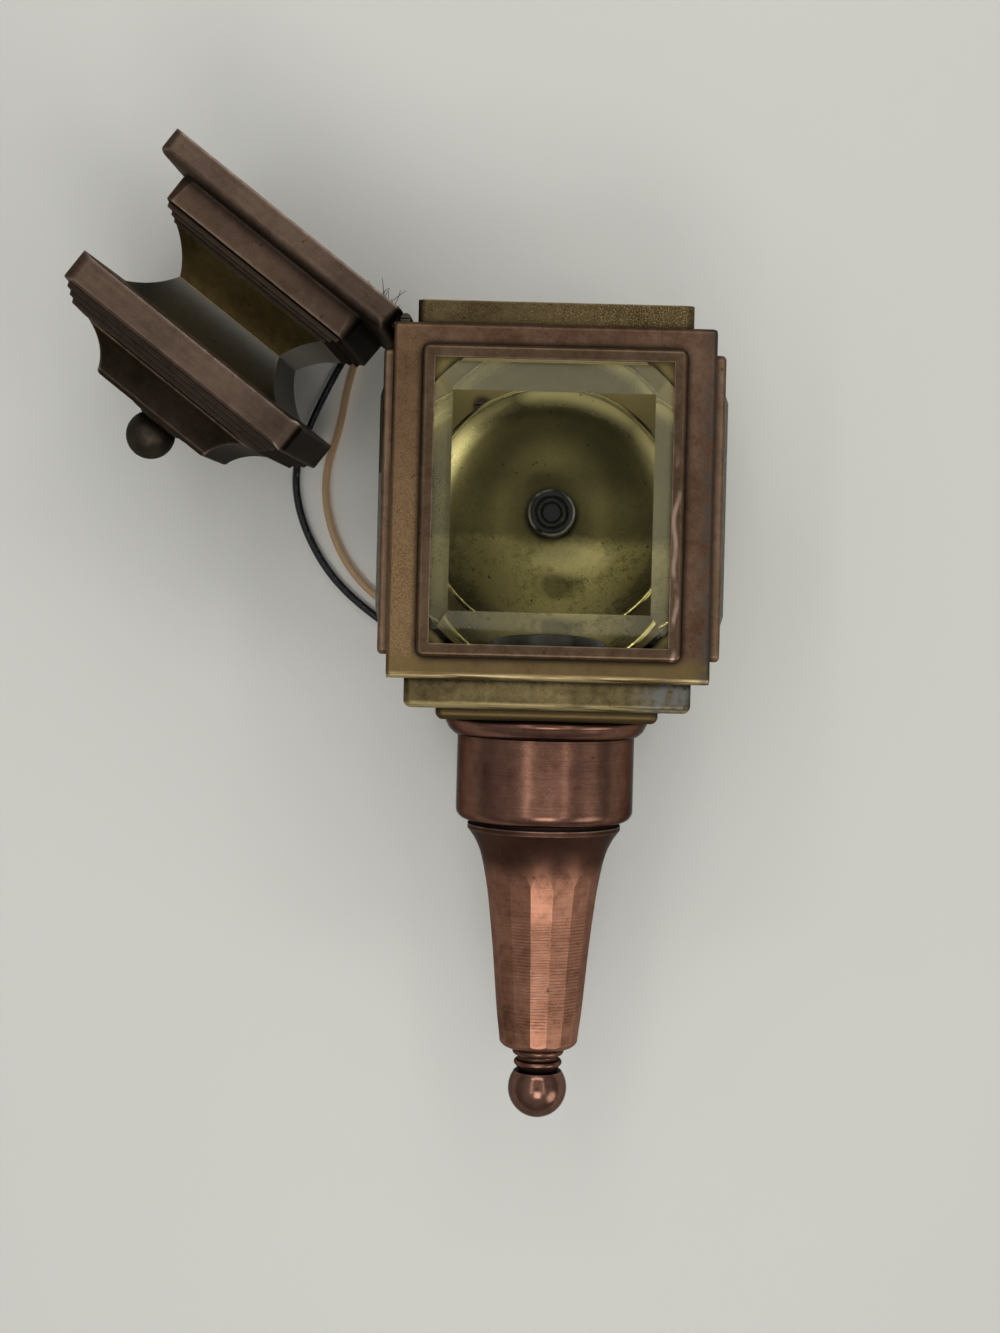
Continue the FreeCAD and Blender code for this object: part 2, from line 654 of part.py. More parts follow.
def terminal_screws():
    """Screw heads under the plates."""
    heads = []
    for plate in terminals():
        x = plate.BoundBox.Center.x
        top = V(x, AXIS_Y + 11.5, HOLDER_BASE - TERMINAL_T)
        head = rod(2.0, top - V(0, 0, 1.4), top)
        slot = box(x - 3, x + 3, AXIS_Y + 11.2, AXIS_Y + 11.8, top.z - 2, top.z - 0.8)
        heads.append(head.cut(slot))
    return Part.makeCompound(heads)


def lead_tube(points, label):
    """Round lead along straight runs that are joined by tangent arcs."""
    runs = [(b - a).Length for a, b in zip(points, points[1:])]
    edges = []
    radii = []
    here = points[0]
    for i in range(1, len(points) - 1):
        back = (points[i - 1] - points[i]).normalize()
        ahead = (points[i + 1] - points[i]).normalize()
        half = back.getAngle(ahead) / 2
        cut = 0.45 * min(runs[i - 1], runs[i])
        radius = cut * math.tan(half)
        bisector = (back + ahead).normalize()
        centre = points[i] + bisector * (radius / math.sin(half))
        enter = points[i] + back * cut
        leave = points[i] + ahead * cut
        edges.append(Part.LineSegment(here, enter).toShape())
        edges.append(Part.Arc(enter, centre - bisector * radius, leave).toShape())
        radii.append(radius)
        here = leave
    edges.append(Part.LineSegment(here, points[-1]).toShape())
    spine = Part.Wire(edges)
    start = (points[1] - points[0]).normalize()
    section = Part.Wire(Part.makeCircle(LEAD_R, points[0], start))
    tube = spine.makePipeShell([section], True, True)
    print(label, "length", round(spine.Length, 1), "least radius", round(min(radii), 1),
          "volume ratio", round(tube.Volume / (math.pi * LEAD_R ** 2 * spine.Length), 4))
    return tube


def inner_lead(exit_point, label):
    """Lead from its terminal up the gap round the holder and back to the bushing."""
    x, y = lead_foot(exit_point)
    z = exit_point[1]
    inside = TRAY_BACK_Y - SHEET - 1
    return lead_tube([V(x, y, HOLDER_BASE), V(x, y, z), V(x, inside, z)], label)


def lead_points(exit_point, route):
    x, z = exit_point
    start = [V(x, TRAY_BACK_Y + BUSH_FLANGE_T, z), V(x, LEAD_WALL_Y, z)]
    return start + [V(px, LEAD_WALL_Y, pz) for px, pz in route]


def outer_lead(exit_point, route, label):
    return lead_tube(lead_points(exit_point, route), label)


def bare_strands(exit_point, route, fan, rise):
    """Bare strands fanning out of the lead's end, each by its own angle and length."""
    points = lead_points(exit_point, route)
    end = points[-1]
    ahead = (end - points[-2]).normalize()
    across = ahead.cross(V(0, 1, 0))
    strands = []
    for i, (spread, length) in enumerate(fan):
        foot = end + ahead * 0.12 + across * (0.5 * (i - (len(fan) - 1) / 2))
        angle = math.radians(spread)
        way = ahead * math.cos(angle) + across * math.sin(angle) - V(0, rise, 0)
        strands.append(rod(STRAND_R, foot, foot + way.normalize() * length))
    return Part.makeCompound(strands)


# Reflector group

def wall_strap():
    """Flat bar against the wall with two screw slots and the stud's hole."""
    strap = box(-STRAP_W / 2, STRAP_W / 2, -STRAP_T, 0, -STRAP_H / 2, STRAP_H / 2)
    ends = [e for e in strap.Edges if abs(e.Vertexes[0].Y - e.Vertexes[1].Y) > 1e-6]
    strap = strap.makeFillet(STRAP_R, ends)
    half = SLOT_LENGTH / 2 - SLOT_R
    for z in (-SLOT_SPACING / 2, SLOT_SPACING / 2):
        slot = box(-SLOT_R, SLOT_R, -STRAP_T - 1, 1, z - half, z + half)
        for end in (z - half, z + half):
            slot = slot.fuse(rod(SLOT_R, V(0, -STRAP_T - 1, end), V(0, 1, end)))
        strap = strap.cut(slot.removeSplitter())
    return strap.cut(rod(STUD_R + FIT, V(0, -STRAP_T - 1, 0), V(0, 1, 0)))


def stud():
    return rod(STUD_R, V(0, 0, 0), V(0, STUD_END, 0))


def lock_nut():
    nut = hexagon(LOCK_AF, V(0, BACK_Y, 0), V(0, -STRAP_T, 0))
    return nut.cut(rod(STUD_R + FIT, V(0, BACK_Y - 1, 0), V(0, 1, 0)))


def spacer():
    inner = BACK_Y - SHEET
    seat = DISH_SEAT_Y + DISH_T
    tube = rod(SPACER_R, V(0, inner, 0), V(0, seat, 0))
    return tube.cut(rod(STUD_R + FIT, V(0, inner + 1, 0), V(0, seat - 1, 0)))


def reflector():
    """Spun dish with a flat seat in the middle and a rolled rim."""
    seat = -DISH_SEAT_Y
    rim = -DISH_RIM_Y
    back = seat - DISH_T
    edge = (DISH_R - 0.8, rim - 0.2)
    return turned_from_wall((STUD_R + FIT, back), [
        (DISH_SEAT_R, back),
        bowed((DISH_SEAT_R, back), (DISH_R - 0.1, rim - 0.9), -DISH_BOW),
        ((DISH_R + 0.7, rim), (DISH_R - 0.1, rim + 0.7)),
        ((DISH_R - 0.75, rim + 0.4), edge),
        bowed(edge, (DISH_SEAT_R, seat), DISH_BOW),
        (STUD_R + FIT, seat)])


def knob():
    """Turned knob with a ringed face and a blind bore for the stud."""
    base = -DISH_SEAT_Y
    end = -KNOB_END
    bore = STUD_R + RUN
    return turned_from_wall((bore, base), [
        (KNOB_R - 0.7, base),
        (KNOB_R, base + 0.9),
        (KNOB_R, base + 2.0),
        ((KNOB_R - 0.9, base + 4.5), (KNOB_R - 0.3, base + 8.5)),
        (KNOB_R, end - 2.2),
        ((KNOB_R - 0.3, end - 0.7), (KNOB_R - 1.2, end)),
        (KNOB_R - 1.9, end),
        (KNOB_R - 2.4, end - 0.6),
        (KNOB_R - 2.9, end - 0.2),
        (KNOB_R - 3.6, end - 0.2),
        (KNOB_R - 4.0, end - 0.7),
        (KNOB_R - 4.4, end - 0.3),
        (0, end - 0.3),
        (0, -STUD_END + 0.6),
        (bore, -STUD_END + 0.6)])


def ground_screw():
    inner = BACK_Y - SHEET
    at = V(GROUND_X, inner, GROUND_Z)
    head = rod(GROUND_HEAD_R, at, at - V(0, 1.3, 0))
    slot = box(GROUND_X - 3, GROUND_X + 3, inner - 2, inner - 0.7, GROUND_Z - 0.35, GROUND_Z + 0.35)
    return head.cut(slot).fuse(rod(GROUND_R, at, V(GROUND_X, BACK_Y + 2.4, GROUND_Z))).removeSplitter()


def ground_nut():
    nut = hexagon(GROUND_NUT_AF, V(GROUND_X, BACK_Y, GROUND_Z), V(GROUND_X, BACK_Y + 2.0, GROUND_Z))
    return nut.cut(rod(GROUND_R + FIT, V(GROUND_X, BACK_Y - 1, GROUND_Z), V(GROUND_X, BACK_Y + 3, GROUND_Z)))


# Hinge, made with the roof closed

def knuckle_spans():
    """Start and end along y of each knuckle, from the front."""
    pitch = HINGE_LENGTH / KNUCKLES
    front = AXIS_Y - HINGE_LENGTH / 2
    starts = [front + i * pitch for i in range(KNUCKLES)]
    return [(y + KNUCKLE_GAP / 2, y + pitch - KNUCKLE_GAP / 2) for y in starts]


def hinge_bar(radius, y0, y1):
    return rod(radius, V(HINGE_X, y0, HINGE_Z), V(HINGE_X, y1, HINGE_Z))


def hinge_leaf(plate, own, other):
    """Leaf with its own knuckles, notched for the other leaf's knuckles and bored for the pin."""
    for y0, y1 in other:
        plate = plate.cut(hinge_bar(KNUCKLE_R + CLEAR, y0 - KNUCKLE_GAP, y1 + KNUCKLE_GAP))
    for y0, y1 in own:
        plate = plate.fuse(hinge_bar(KNUCKLE_R, y0, y1))
    bore = hinge_bar(PIN_R + RUN, AXIS_Y - HINGE_LENGTH, AXIS_Y + HINGE_LENGTH)
    return plate.removeSplitter().cut(bore)


def fixed_leaf():
    spans = knuckle_spans()
    plate = box(HINGE_X - LEAF_EDGE, -COLLAR_HALF - FIT, spans[0][0], spans[-1][1],
                BODY_TOP, BODY_TOP + LEAF_T)
    return hinge_leaf(plate, spans[0::2], spans[1::2])


def roof_leaf():
    spans = knuckle_spans()
    plate = box(-RIM_HALF - ROOF_LEAF_T, -RIM_HALF, spans[0][0], spans[-1][1],
                RIM_Z + 0.2, RIM_Z + RIM_SIDE)
    return hinge_leaf(plate, spans[1::2], spans[0::2])


def hinge_pin():
    front = AXIS_Y - HINGE_LENGTH / 2
    back = AXIS_Y + HINGE_LENGTH / 2
    pin = hinge_bar(PIN_R, front - PIN_HEAD_T / 2, back + PIN_HEAD_T / 2)
    for y0, y1 in ((front - PIN_HEAD_T, front), (back, back + PIN_HEAD_T)):
        pin = pin.fuse(hinge_bar(PIN_HEAD_R, y0, y1))
    head = front - PIN_HEAD_T
    slot = box(HINGE_X - 2, HINGE_X + 2, head - 1, head + PIN_SLOT_DEPTH,
               HINGE_Z - PIN_SLOT_W / 2, HINGE_Z + PIN_SLOT_W / 2)
    return pin.removeSplitter().cut(slot)


# Roof, made closed and turned open at the end

def square_form(half_outline, corner=None):
    """Square-plan solid: one moulding outline run along x and along y, kept where both agree."""
    start = half_outline[0]
    edges = outline(start, half_outline[1:])
    mirrored = [e.mirror(V(0, 0, 0), V(1, 0, 0)) for e in edges]
    face = closed_face(edges + mirrored)
    length = 2 * face.BoundBox.XLength
    along = face.extrude(V(0, length, 0)).translated(V(0, -length / 2, 0))
    both = along.common(along.rotated(V(0, 0, 0), V(0, 0, 1), 90))
    both = both.translated(V(0, AXIS_Y, RIM_Z))
    if corner:
        half, radius = corner
        both = both.common(rounded_square(half, radius, both.BoundBox.ZMin - 1, both.BoundBox.ZMax + 1))
    return both


def vent(half, low, high):
    """Square passage through the roof."""
    return box(-half, half, AXIS_Y - half, AXIS_Y + half, RIM_Z + low, RIM_Z + high)


def roof_rim():
    """Rim with a rounded shoulder, hollow to go over the collar."""
    t = COLLAR_WALL
    w = RIM_HALF
    top = RIM_H
    outer = square_form([(0, 0), (w, 0), (w, RIM_SIDE), ((w - 0.75, top - 1.0), (w - 2.7, top - 0.3)),
                         (BLOCK_HALF + 0.4, top), (0, top)], (w, RIM_CORNER_R))
    w = w - t
    inner = square_form([(0, -1), (w, -1), (w, RIM_SIDE), ((w - 0.6, top - 1.65), (w - 2.7, top - 1.0)),
                         (BLOCK_HALF, top - t), (0, top - t)], (w, RIM_CORNER_R - t))
    return outer.cut(inner).cut(vent(BLOCK_HALF - 2.4, top - 2.7, top + 1.3))


def roof_block():
    """Plain block with three small steps at its top."""
    t = SHEET
    w = BLOCK_HALF
    top = BLOCK_TOP
    outer = square_form([(0, RIM_H), (w, RIM_H), (w - 0.4, top - 3.7), (w - 1.6, top - 3.1),
                         (w - 1.9, top - 2.0), (w - 3.3, top - 2.0), (w - 3.6, top - 1.0),
                         (w - 4.6, top - 0.8), (w - 5.0, top), (0, top)], (w, BLOCK_CORNER_R))
    inner = square_form([(0, RIM_H - 1), (w - t, RIM_H - 1), (w - t - 0.4, top - 4.0), (w - 3.4, top - 3.0),
                         (w - 5.4, top - 1.8), (w - 6.0, top - t), (0, top - t)], (w - t, BLOCK_CORNER_R - t))
    return outer.cut(inner).cut(vent(BLOCK_HALF - 7.6, top - 4, top + 2))


def neck_outline(foot, waist, head, extra):
    """Half outline of the chimney: in to the waist and out again, both ways hollow-curved."""
    low = (foot, BLOCK_TOP - extra)
    middle = (waist, WAIST_H)
    high = (head, HOOD_UNDER + extra)
    return [(0, low[1]), low, bowed(low, middle, NECK_LOW_BOW), bowed(middle, high, NECK_HIGH_BOW),
            (0, high[1])]


def roof_neck():
    """Waisted chimney between block and hood, hollow on both sides of the waist."""
    foot = BLOCK_HALF - 5.6
    head = CAP_FOOT_HALF - 0.7
    outer = square_form(neck_outline(foot, WAIST_HALF, head, 0))
    return outer.cut(square_form(neck_outline(foot - 1.2, WAIST_HALF - SHEET, head - 1.3, 0.01)))


def roof_hood():
    """Broad hood: flat underside, upright band with rounded corners and steps above."""
    t = SHEET
    w = HOOD_HALF
    low = HOOD_UNDER
    band = HOOD_BAND
    top = HOOD_TOP
    outer = square_form([(0, low), (w - 0.5, low), (w, low + 0.5), (w, band - 1.0),
                         ((w - 0.3, band - 0.3), (w - 1.0, band)), (w - 2.2, band + 0.3),
                         (w - 2.6, band + 1.5), (w - 3.6, band + 1.7), (w - 4.0, band + 2.8),
                         (w - 5.0, band + 3.0), (w - 5.4, band + 4.1), (CAP_FOOT_HALF + 0.8, top), (0, top)],
                        (w, HOOD_CORNER_R))
    inner = square_form([(0, low + t), (w - t, low + t), (w - t, band - 1.6), (w - 4.4, band + 0.4),
                         (w - 6.6, top - 2.0), (CAP_FOOT_HALF, top - t), (0, top - t)],
                        (w - t, HOOD_CORNER_R - t))
    return outer.cut(inner).cut(vent(CAP_FOOT_HALF - 3.4, low - 1, top + 1))


def roof_cap():
    """Hollow-curved top with a flat for the finial."""
    top = CAP_TOP
    foot = (CAP_FOOT_HALF, HOOD_TOP)
    brow = (CAP_FLAT_HALF + 1.4, top - 1.4)
    outer = square_form([(0, HOOD_TOP), foot, bowed(foot, brow, CAP_BOW),
                         bowed(brow, (CAP_FLAT_HALF, top), -0.21), (0, top)])
    foot = (CAP_FOOT_HALF - 1.5, HOOD_TOP - 0.01)
    brow = (CAP_FLAT_HALF + 0.5, top - 1.6)
    inner = square_form([(0, HOOD_TOP - 0.01), foot, bowed(foot, brow, CAP_BOW),
                         (CAP_FLAT_HALF - 0.4, top - SHEET), (0, top - SHEET)])
    hole = rod(FINIAL_STUD_R + FIT, V(0, AXIS_Y, RIM_Z + top - 3), V(0, AXIS_Y, RIM_Z + top + 1))
    return outer.cut(inner).cut(hole)


def finial_washer():
    low = RIM_Z + CAP_TOP
    hole = FINIAL_STUD_R + FIT
    top = low + WASHER_T
    return turned((hole, low), [
        (WASHER_R, low),
        ((WASHER_R - 0.2, low + 0.5), (WASHER_R - 1.2, low + 0.8)),
        (WASHER_R - 3.4, low + 1.0),
        (WASHER_R - 3.8, top),
        (hole, top)])


def finial_ball():
    ball = cut_ball(FINIAL_R, RIM_Z + FINIAL_H, RIM_Z + CAP_TOP + WASHER_T, 1)
    foot = RIM_Z + CAP_TOP
    return ball.cut(rod(FINIAL_STUD_R + FIT, V(0, AXIS_Y, foot), V(0, AXIS_Y, RIM_Z + FINIAL_H + 1)))


def finial_stud():
    foot = RIM_Z + CAP_TOP - SHEET - FINIAL_NUT_T - 1.4
    return rod(FINIAL_STUD_R, V(0, AXIS_Y, foot), V(0, AXIS_Y, RIM_Z + FINIAL_H + 1))


def finial_nut():
    top = RIM_Z + CAP_TOP - SHEET
    low = top - FINIAL_NUT_T
    nut = hexagon(FINIAL_NUT_AF, V(0, AXIS_Y, low), V(0, AXIS_Y, top))
    return nut.cut(rod(FINIAL_STUD_R + FIT, V(0, AXIS_Y, low - 1), V(0, AXIS_Y, top + 1)))


def opened(shape):
    return shape.rotated(V(HINGE_X, AXIS_Y, HINGE_Z), V(0, 1, 0), -OPEN_ANGLE)


def lantern():
    """Every node of the assembly by its name, with the roof open as it rests."""
    nodes = {
        "front_plate": front_plate(),
        "left_wall": side_wall("left"),
        "right_wall": side_wall("right"),
        "back_wall": back_wall(),
        "top_plate": top_plate(),
        "floor_plate": floor_plate(),
        "collar": collar(),
        "base_tray": base_tray(),
        "wire_bushing": wire_bushing(),
        "base_step": base_step(),
        "socket_cup": socket_cup(),
        "tail": tail(),
        "neck": neck(),
        "tail_ball": tail_ball(),
        "tie_rod": tie_rod(),
        "tie_nut": tie_nut(),
        "holder_body": holder_body(),
        "screw_shell": screw_shell(),
        "centre_contact": centre_contact(),
        "terminal_plates": Part.makeCompound(terminals()),
        "terminal_screws": terminal_screws(),
        "inner_lead_black": inner_lead(EXIT_BLACK, "inner black"),
        "inner_lead_tan": inner_lead(EXIT_TAN, "inner tan"),
        "black_lead": outer_lead(EXIT_BLACK, BLACK_ROUTE, "black"),
        "tan_lead": outer_lead(EXIT_TAN, TAN_ROUTE, "tan"),
        "black_strands": bare_strands(EXIT_BLACK, BLACK_ROUTE, BLACK_FAN, 0),
        "tan_strands": bare_strands(EXIT_TAN, TAN_ROUTE, TAN_FAN, TAN_RISE),
        "wall_strap": wall_strap(),
        "stud": stud(),
        "lock_nut": lock_nut(),
        "spacer": spacer(),
        "reflector": reflector(),
        "knob": knob(),
        "ground_screw": ground_screw(),
        "ground_nut": ground_nut(),
        "hinge_leaf_fixed": fixed_leaf(),
        "hinge_pin": hinge_pin(),
    }
    for side in ("front", "left", "right"):
        nodes[side + "_bezel"] = placed(bezel(), side)
        nodes[side + "_glass"] = placed(glass(), side)
        nodes[side + "_tabs"] = placed(corner_tabs(), side)
    roof = {
        "hinge_leaf_roof": roof_leaf(),
        "roof_rim": roof_rim(),
        "roof_block": roof_block(),
        "roof_neck": roof_neck(),
        "roof_hood": roof_hood(),
        "roof_cap": roof_cap(),
        "finial_washer": finial_washer(),
        "finial_ball": finial_ball(),
        "finial_stud": finial_stud(),
        "finial_nut": finial_nut(),
    }
    nodes.update({name: opened(shape) for name, shape in roof.items()})
    return nodes


os.makedirs("parts", exist_ok=True)
for name, shape in lantern().items():
    if not shape.isValid():
        print("not valid:", name)
    shape.exportStep("parts/" + name + ".step")
    print(name, len(shape.Solids), round(shape.Volume, 1))
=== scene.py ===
import json
import math

import bpy
import numpy as np
from mathutils import Matrix, Quaternion, Vector

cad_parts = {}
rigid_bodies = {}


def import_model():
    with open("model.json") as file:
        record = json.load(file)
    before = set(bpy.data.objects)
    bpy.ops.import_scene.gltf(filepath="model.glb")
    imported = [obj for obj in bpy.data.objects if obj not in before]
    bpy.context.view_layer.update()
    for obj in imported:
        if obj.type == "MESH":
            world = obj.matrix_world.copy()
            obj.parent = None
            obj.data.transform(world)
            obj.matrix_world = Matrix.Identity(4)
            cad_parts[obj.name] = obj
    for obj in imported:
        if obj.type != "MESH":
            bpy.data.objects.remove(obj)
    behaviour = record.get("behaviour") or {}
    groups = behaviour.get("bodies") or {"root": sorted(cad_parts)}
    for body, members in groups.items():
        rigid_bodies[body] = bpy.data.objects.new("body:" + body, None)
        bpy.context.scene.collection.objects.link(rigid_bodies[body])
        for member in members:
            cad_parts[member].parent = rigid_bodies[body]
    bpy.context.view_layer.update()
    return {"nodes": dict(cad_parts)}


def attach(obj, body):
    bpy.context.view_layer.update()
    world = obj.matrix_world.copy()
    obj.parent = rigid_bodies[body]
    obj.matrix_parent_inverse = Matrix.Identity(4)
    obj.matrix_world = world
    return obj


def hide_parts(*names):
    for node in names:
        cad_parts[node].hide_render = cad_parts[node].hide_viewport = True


for leftover in list(bpy.data.objects):
    bpy.data.objects.remove(leftover)
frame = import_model()
NODES = frame["nodes"]
MM = 0.001

# Places on the lantern that the finishes refer to, in metres
AXIS_Y = -0.046
BOX_HALF = 0.04135
BOX_BOTTOM = -0.0454
TRAY_BOTTOM = -0.0531
LEFT_BAR_EDGES = (-0.030, -0.0355)        # across, from clean to worn
RIGHT_WEAR = (0.0365, 0.041)
TRAY_END = (0.018, 0.031)
TRAY_FRONT = (-0.07, -0.08)
BEAD_X = 0.0316
BEAD_FACE = (-0.0865, -0.0880)
HINGE = Vector((-0.0391, AXIS_Y, 0.04735))
OPEN_ANGLE = math.radians(142.5)
HINGE_SIDE = (-math.cos(OPEN_ANGLE), 0.0, -math.sin(OPEN_ANGLE))   # way to the hinge on the open roof
ROOF_WAIST = 0.0754                       # heights on the closed roof: its waist,
BLOCK_STEPS = 0.0614                      # the foot of the block's steps
HOOD_STEPS = 0.0944                       # and the foot of the hood's steps
DISH_R = 0.0358
DARK_REFLECTION_LINE = -0.0072                    # lower end of the painted dark reflection on the dish
KNOB_R = 0.0068
KNOB_FACE = min(corner[1] for corner in NODES["knob"].bound_box)
BELL_SPAN = (-0.103, -0.094)              # flare of the tail
STAVES_TOP = -0.098
STAVES_END = -0.1474
CHATTER_STEP = 0.0009
LEAD_R = 0.0012
EXIT_Y = -0.0082
WALL_Y = -0.0015
STRAND_R = 0.00015

# Grain of the finishes: how many times it repeats in a metre, and how deep its relief is
FINE_GRAIN = 1700.0
PIT_GRAIN = 520.0
RELIEF = 0.00004

# Colours that several finishes share
# This black stands for soot and dark pits, and also paints shade in creases and at the roof's end beside the
# hinge.
SOOT_AND_SHADE = (0.010, 0.009, 0.008)
NEUTRAL_GRAZING = (0.47, 0.50, 0.51)
ROOF_GRAZING = (0.46, 0.44, 0.42)

# Stage
BOARD_HALF = 2.5
BOARD_Y = 0.0006
BOARD_PALE = (0.706, 0.706, 0.674)
BOARD_DIM = (0.672, 0.672, 0.640)
BACKDROP = (0.78, 0.78, 0.76)
TOUCHING = 0.015                          # rays that start this close to the board pass it
LAMP_COLOUR = (1.0, 0.985, 0.955)
BODY_AIM = (0.0, -0.05, 0.0)
FOOT_AIM = (0.0, -0.05, -0.10)
STRIPS = (                                # name, place, aim, size and power in watts
    ("strip_top", (0.0, -0.70, 0.50), BODY_AIM, (0.70, 0.09), 1.15),
    ("strip_left", (-0.26, -0.70, 0.05), BODY_AIM, (0.05, 0.80), 0.36),
    ("strip_right", (0.32, -0.70, 0.05), BODY_AIM, (0.04, 0.80), 0.28),
    ("strip_low", (0.02, -0.72, -0.38), FOOT_AIM, (0.30, 0.28), 1.05))
ROOM = (                                  # from straight ahead to behind the board
    (0.0, (0.10, 0.10, 0.10)), (0.0023, (0.11, 0.11, 0.108)), (0.008, (0.72, 0.72, 0.705)),
    (0.05, (0.68, 0.68, 0.665)), (0.10, (0.46, 0.46, 0.45)), (0.25, (0.40, 0.40, 0.39)),
    (0.36, (0.28, 0.28, 0.275)), (0.45, (0.24, 0.24, 0.235)), (0.5, (0.24, 0.24, 0.235)),
    (0.56, (0.60, 0.60, 0.59)))
ROOM_TILT = 0.05
SIDE_WINDOW = Vector((0.80, -0.42, -0.43)).normalized()   # way to the room's window, low on the right
WINDOW_EDGE = (0.93, 0.985)
WINDOW_LIGHT = (2.4, 2.4, 2.3)
CAMERA_PLACE = (0.0, -0.5945, -0.0235)
CAMERA_ROLL = math.radians(1.45)


class Wire:
    """A socket of a finish; arithmetic on it adds Math nodes."""

    def __init__(self, finish, socket):
        self.finish = finish
        self.socket = socket

    def _sum(self, operation, a, b):
        return self.finish.node("ShaderNodeMath", {"operation": operation}, {0: a, 1: b})

    def __add__(self, other):
        return self._sum("ADD", self, other)

    def __radd__(self, other):
        return self._sum("ADD", other, self)

    def __sub__(self, other):
        return self._sum("SUBTRACT", self, other)

    def __rsub__(self, other):
        return self._sum("SUBTRACT", other, self)

    def __mul__(self, other):
        return self._sum("MULTIPLY", self, other)

    def __rmul__(self, other):
        return self._sum("MULTIPLY", other, self)

    def clamped(self):
        return self.finish.node("ShaderNodeClamp", {}, {"Value": self})

    def sine(self):
        return self._sum("SINE", self, 0.0)

    def size(self):
        return self._sum("ABSOLUTE", self, 0.0)

    def most(self, other):
        return self._sum("MAXIMUM", self, other)

    def between(self, low, high):
        """0 below low, 1 above high, a smooth step in between; low may be the greater."""
        settings = {"interpolation_type": "SMOOTHSTEP"}
        return self.finish.node("ShaderNodeMapRange", settings, {0: self, 1: low, 2: high})

    def ramp(self, *stops):
        """Colour over the value 0 to 1, from (place, colour) stops."""
        return self.finish.node("ShaderNodeValToRGB", {"stops": stops}, {0: self})


class Finish:
    """The nodes of one material, or of the room. node() adds any node and links or sets its sockets."""

    def __init__(self, owner, output="ShaderNodeOutputMaterial"):
        owner.use_nodes = True
        self.owner = owner
        self.tree = owner.node_tree
        self.tree.nodes.clear()
        self.output = self.tree.nodes.new(output)

    def node(self, kind, settings, inputs, out=0):
        made = self.tree.nodes.new(kind)
        for key, value in settings.items():
            if key == "stops":
                elements = made.color_ramp.elements
                while len(elements) < len(value):
                    elements.new(0.5)
                for element, (place, colour) in zip(elements, value):
                    element.position = place
                    element.color = (*colour, 1.0)
            else:
                setattr(made, key, value)
        for key, value in inputs.items():
            if isinstance(value, Wire):
                self.tree.links.new(value.socket, made.inputs[key])
            else:
                made.inputs[key].default_value = value
        return Wire(self, made.outputs[out])

    def place(self, scale=(1, 1, 1), closed=False):
        """Object coordinates; on the roof, turned to where they lie when it is closed."""
        here = self.node("ShaderNodeTexCoord", {}, {}, "Object")
        if closed:
            shift = HINGE - Matrix.Rotation(OPEN_ANGLE, 3, "Y") @ HINGE
            about = {"Vector": here, "Location": shift, "Rotation": (0.0, OPEN_ANGLE, 0.0)}
            here = self.node("ShaderNodeMapping", {}, about)
        return self.node("ShaderNodeVectorMath", {"operation": "MULTIPLY"}, {0: here, 1: scale})

    def part(self, vector, axis):
        return self.node("ShaderNodeSeparateXYZ", {}, {0: vector}, "XYZ".index(axis))

    def noise(self, vector, scale, detail=3.0, rough=0.55):
        inputs = {"Vector": vector, "Scale": scale, "Detail": detail, "Roughness": rough}
        return self.node("ShaderNodeTexNoise", {}, inputs, "Fac")

    def mix(self, share, a, b):
        """Colour a, passing to b as share goes from 0 to 1."""
        a = a if isinstance(a, Wire) else (*a, 1.0)
        b = b if isinstance(b, Wire) else (*b, 1.0)
        settings = {"data_type": "RGBA", "clamp_factor": True}
        return self.node("ShaderNodeMix", settings, {0: share, 6: a, 7: b}, 2)

    def normal(self):
        return self.node("ShaderNodeNewGeometry", {}, {}, "Normal")

    def facing(self, direction):
        """How far a face of the piece, as it lies at rest, looks along direction; 1 is straight along it."""
        normal = self.node("ShaderNodeTexCoord", {}, {}, "Normal")
        both = {0: normal, 1: direction}
        return self.node("ShaderNodeVectorMath", {"operation": "DOT_PRODUCT"}, both, "Value")

    def edges(self, radius):
        """1 on edges: how far a rounded normal leaves the true one."""
        rounded = self.node("ShaderNodeBevel", {"samples": 6}, {"Radius": radius})
        both = {0: rounded, 1: self.normal()}
        cosine = self.node("ShaderNodeVectorMath", {"operation": "DOT_PRODUCT"}, both, "Value")
        return ((1.0 - cosine) * 6.0).clamped()

    def creases(self, reach):
        """1 in corners and slits, 0 on open faces, from ambient occlusion: it marks soiling and painted
        shade.
        """
        openness = self.node("ShaderNodeAmbientOcclusion", {"samples": 6}, {"Distance": reach}, "AO")
        return (1.0 - openness).between(0.1, 0.45)

    def bump(self, height, depth, strength=0.6):
        return self.node("ShaderNodeBump", {}, {"Height": height, "Distance": depth, "Strength": strength})

    def surface(self, shader):
        self.tree.links.new(shader.socket, self.output.inputs["Surface"])
        return self.owner

    def principled(self, inputs):
        return self.node("ShaderNodeBsdfPrincipled", {}, inputs)


def new_finish(name):
    return Finish(bpy.data.materials.new(name))


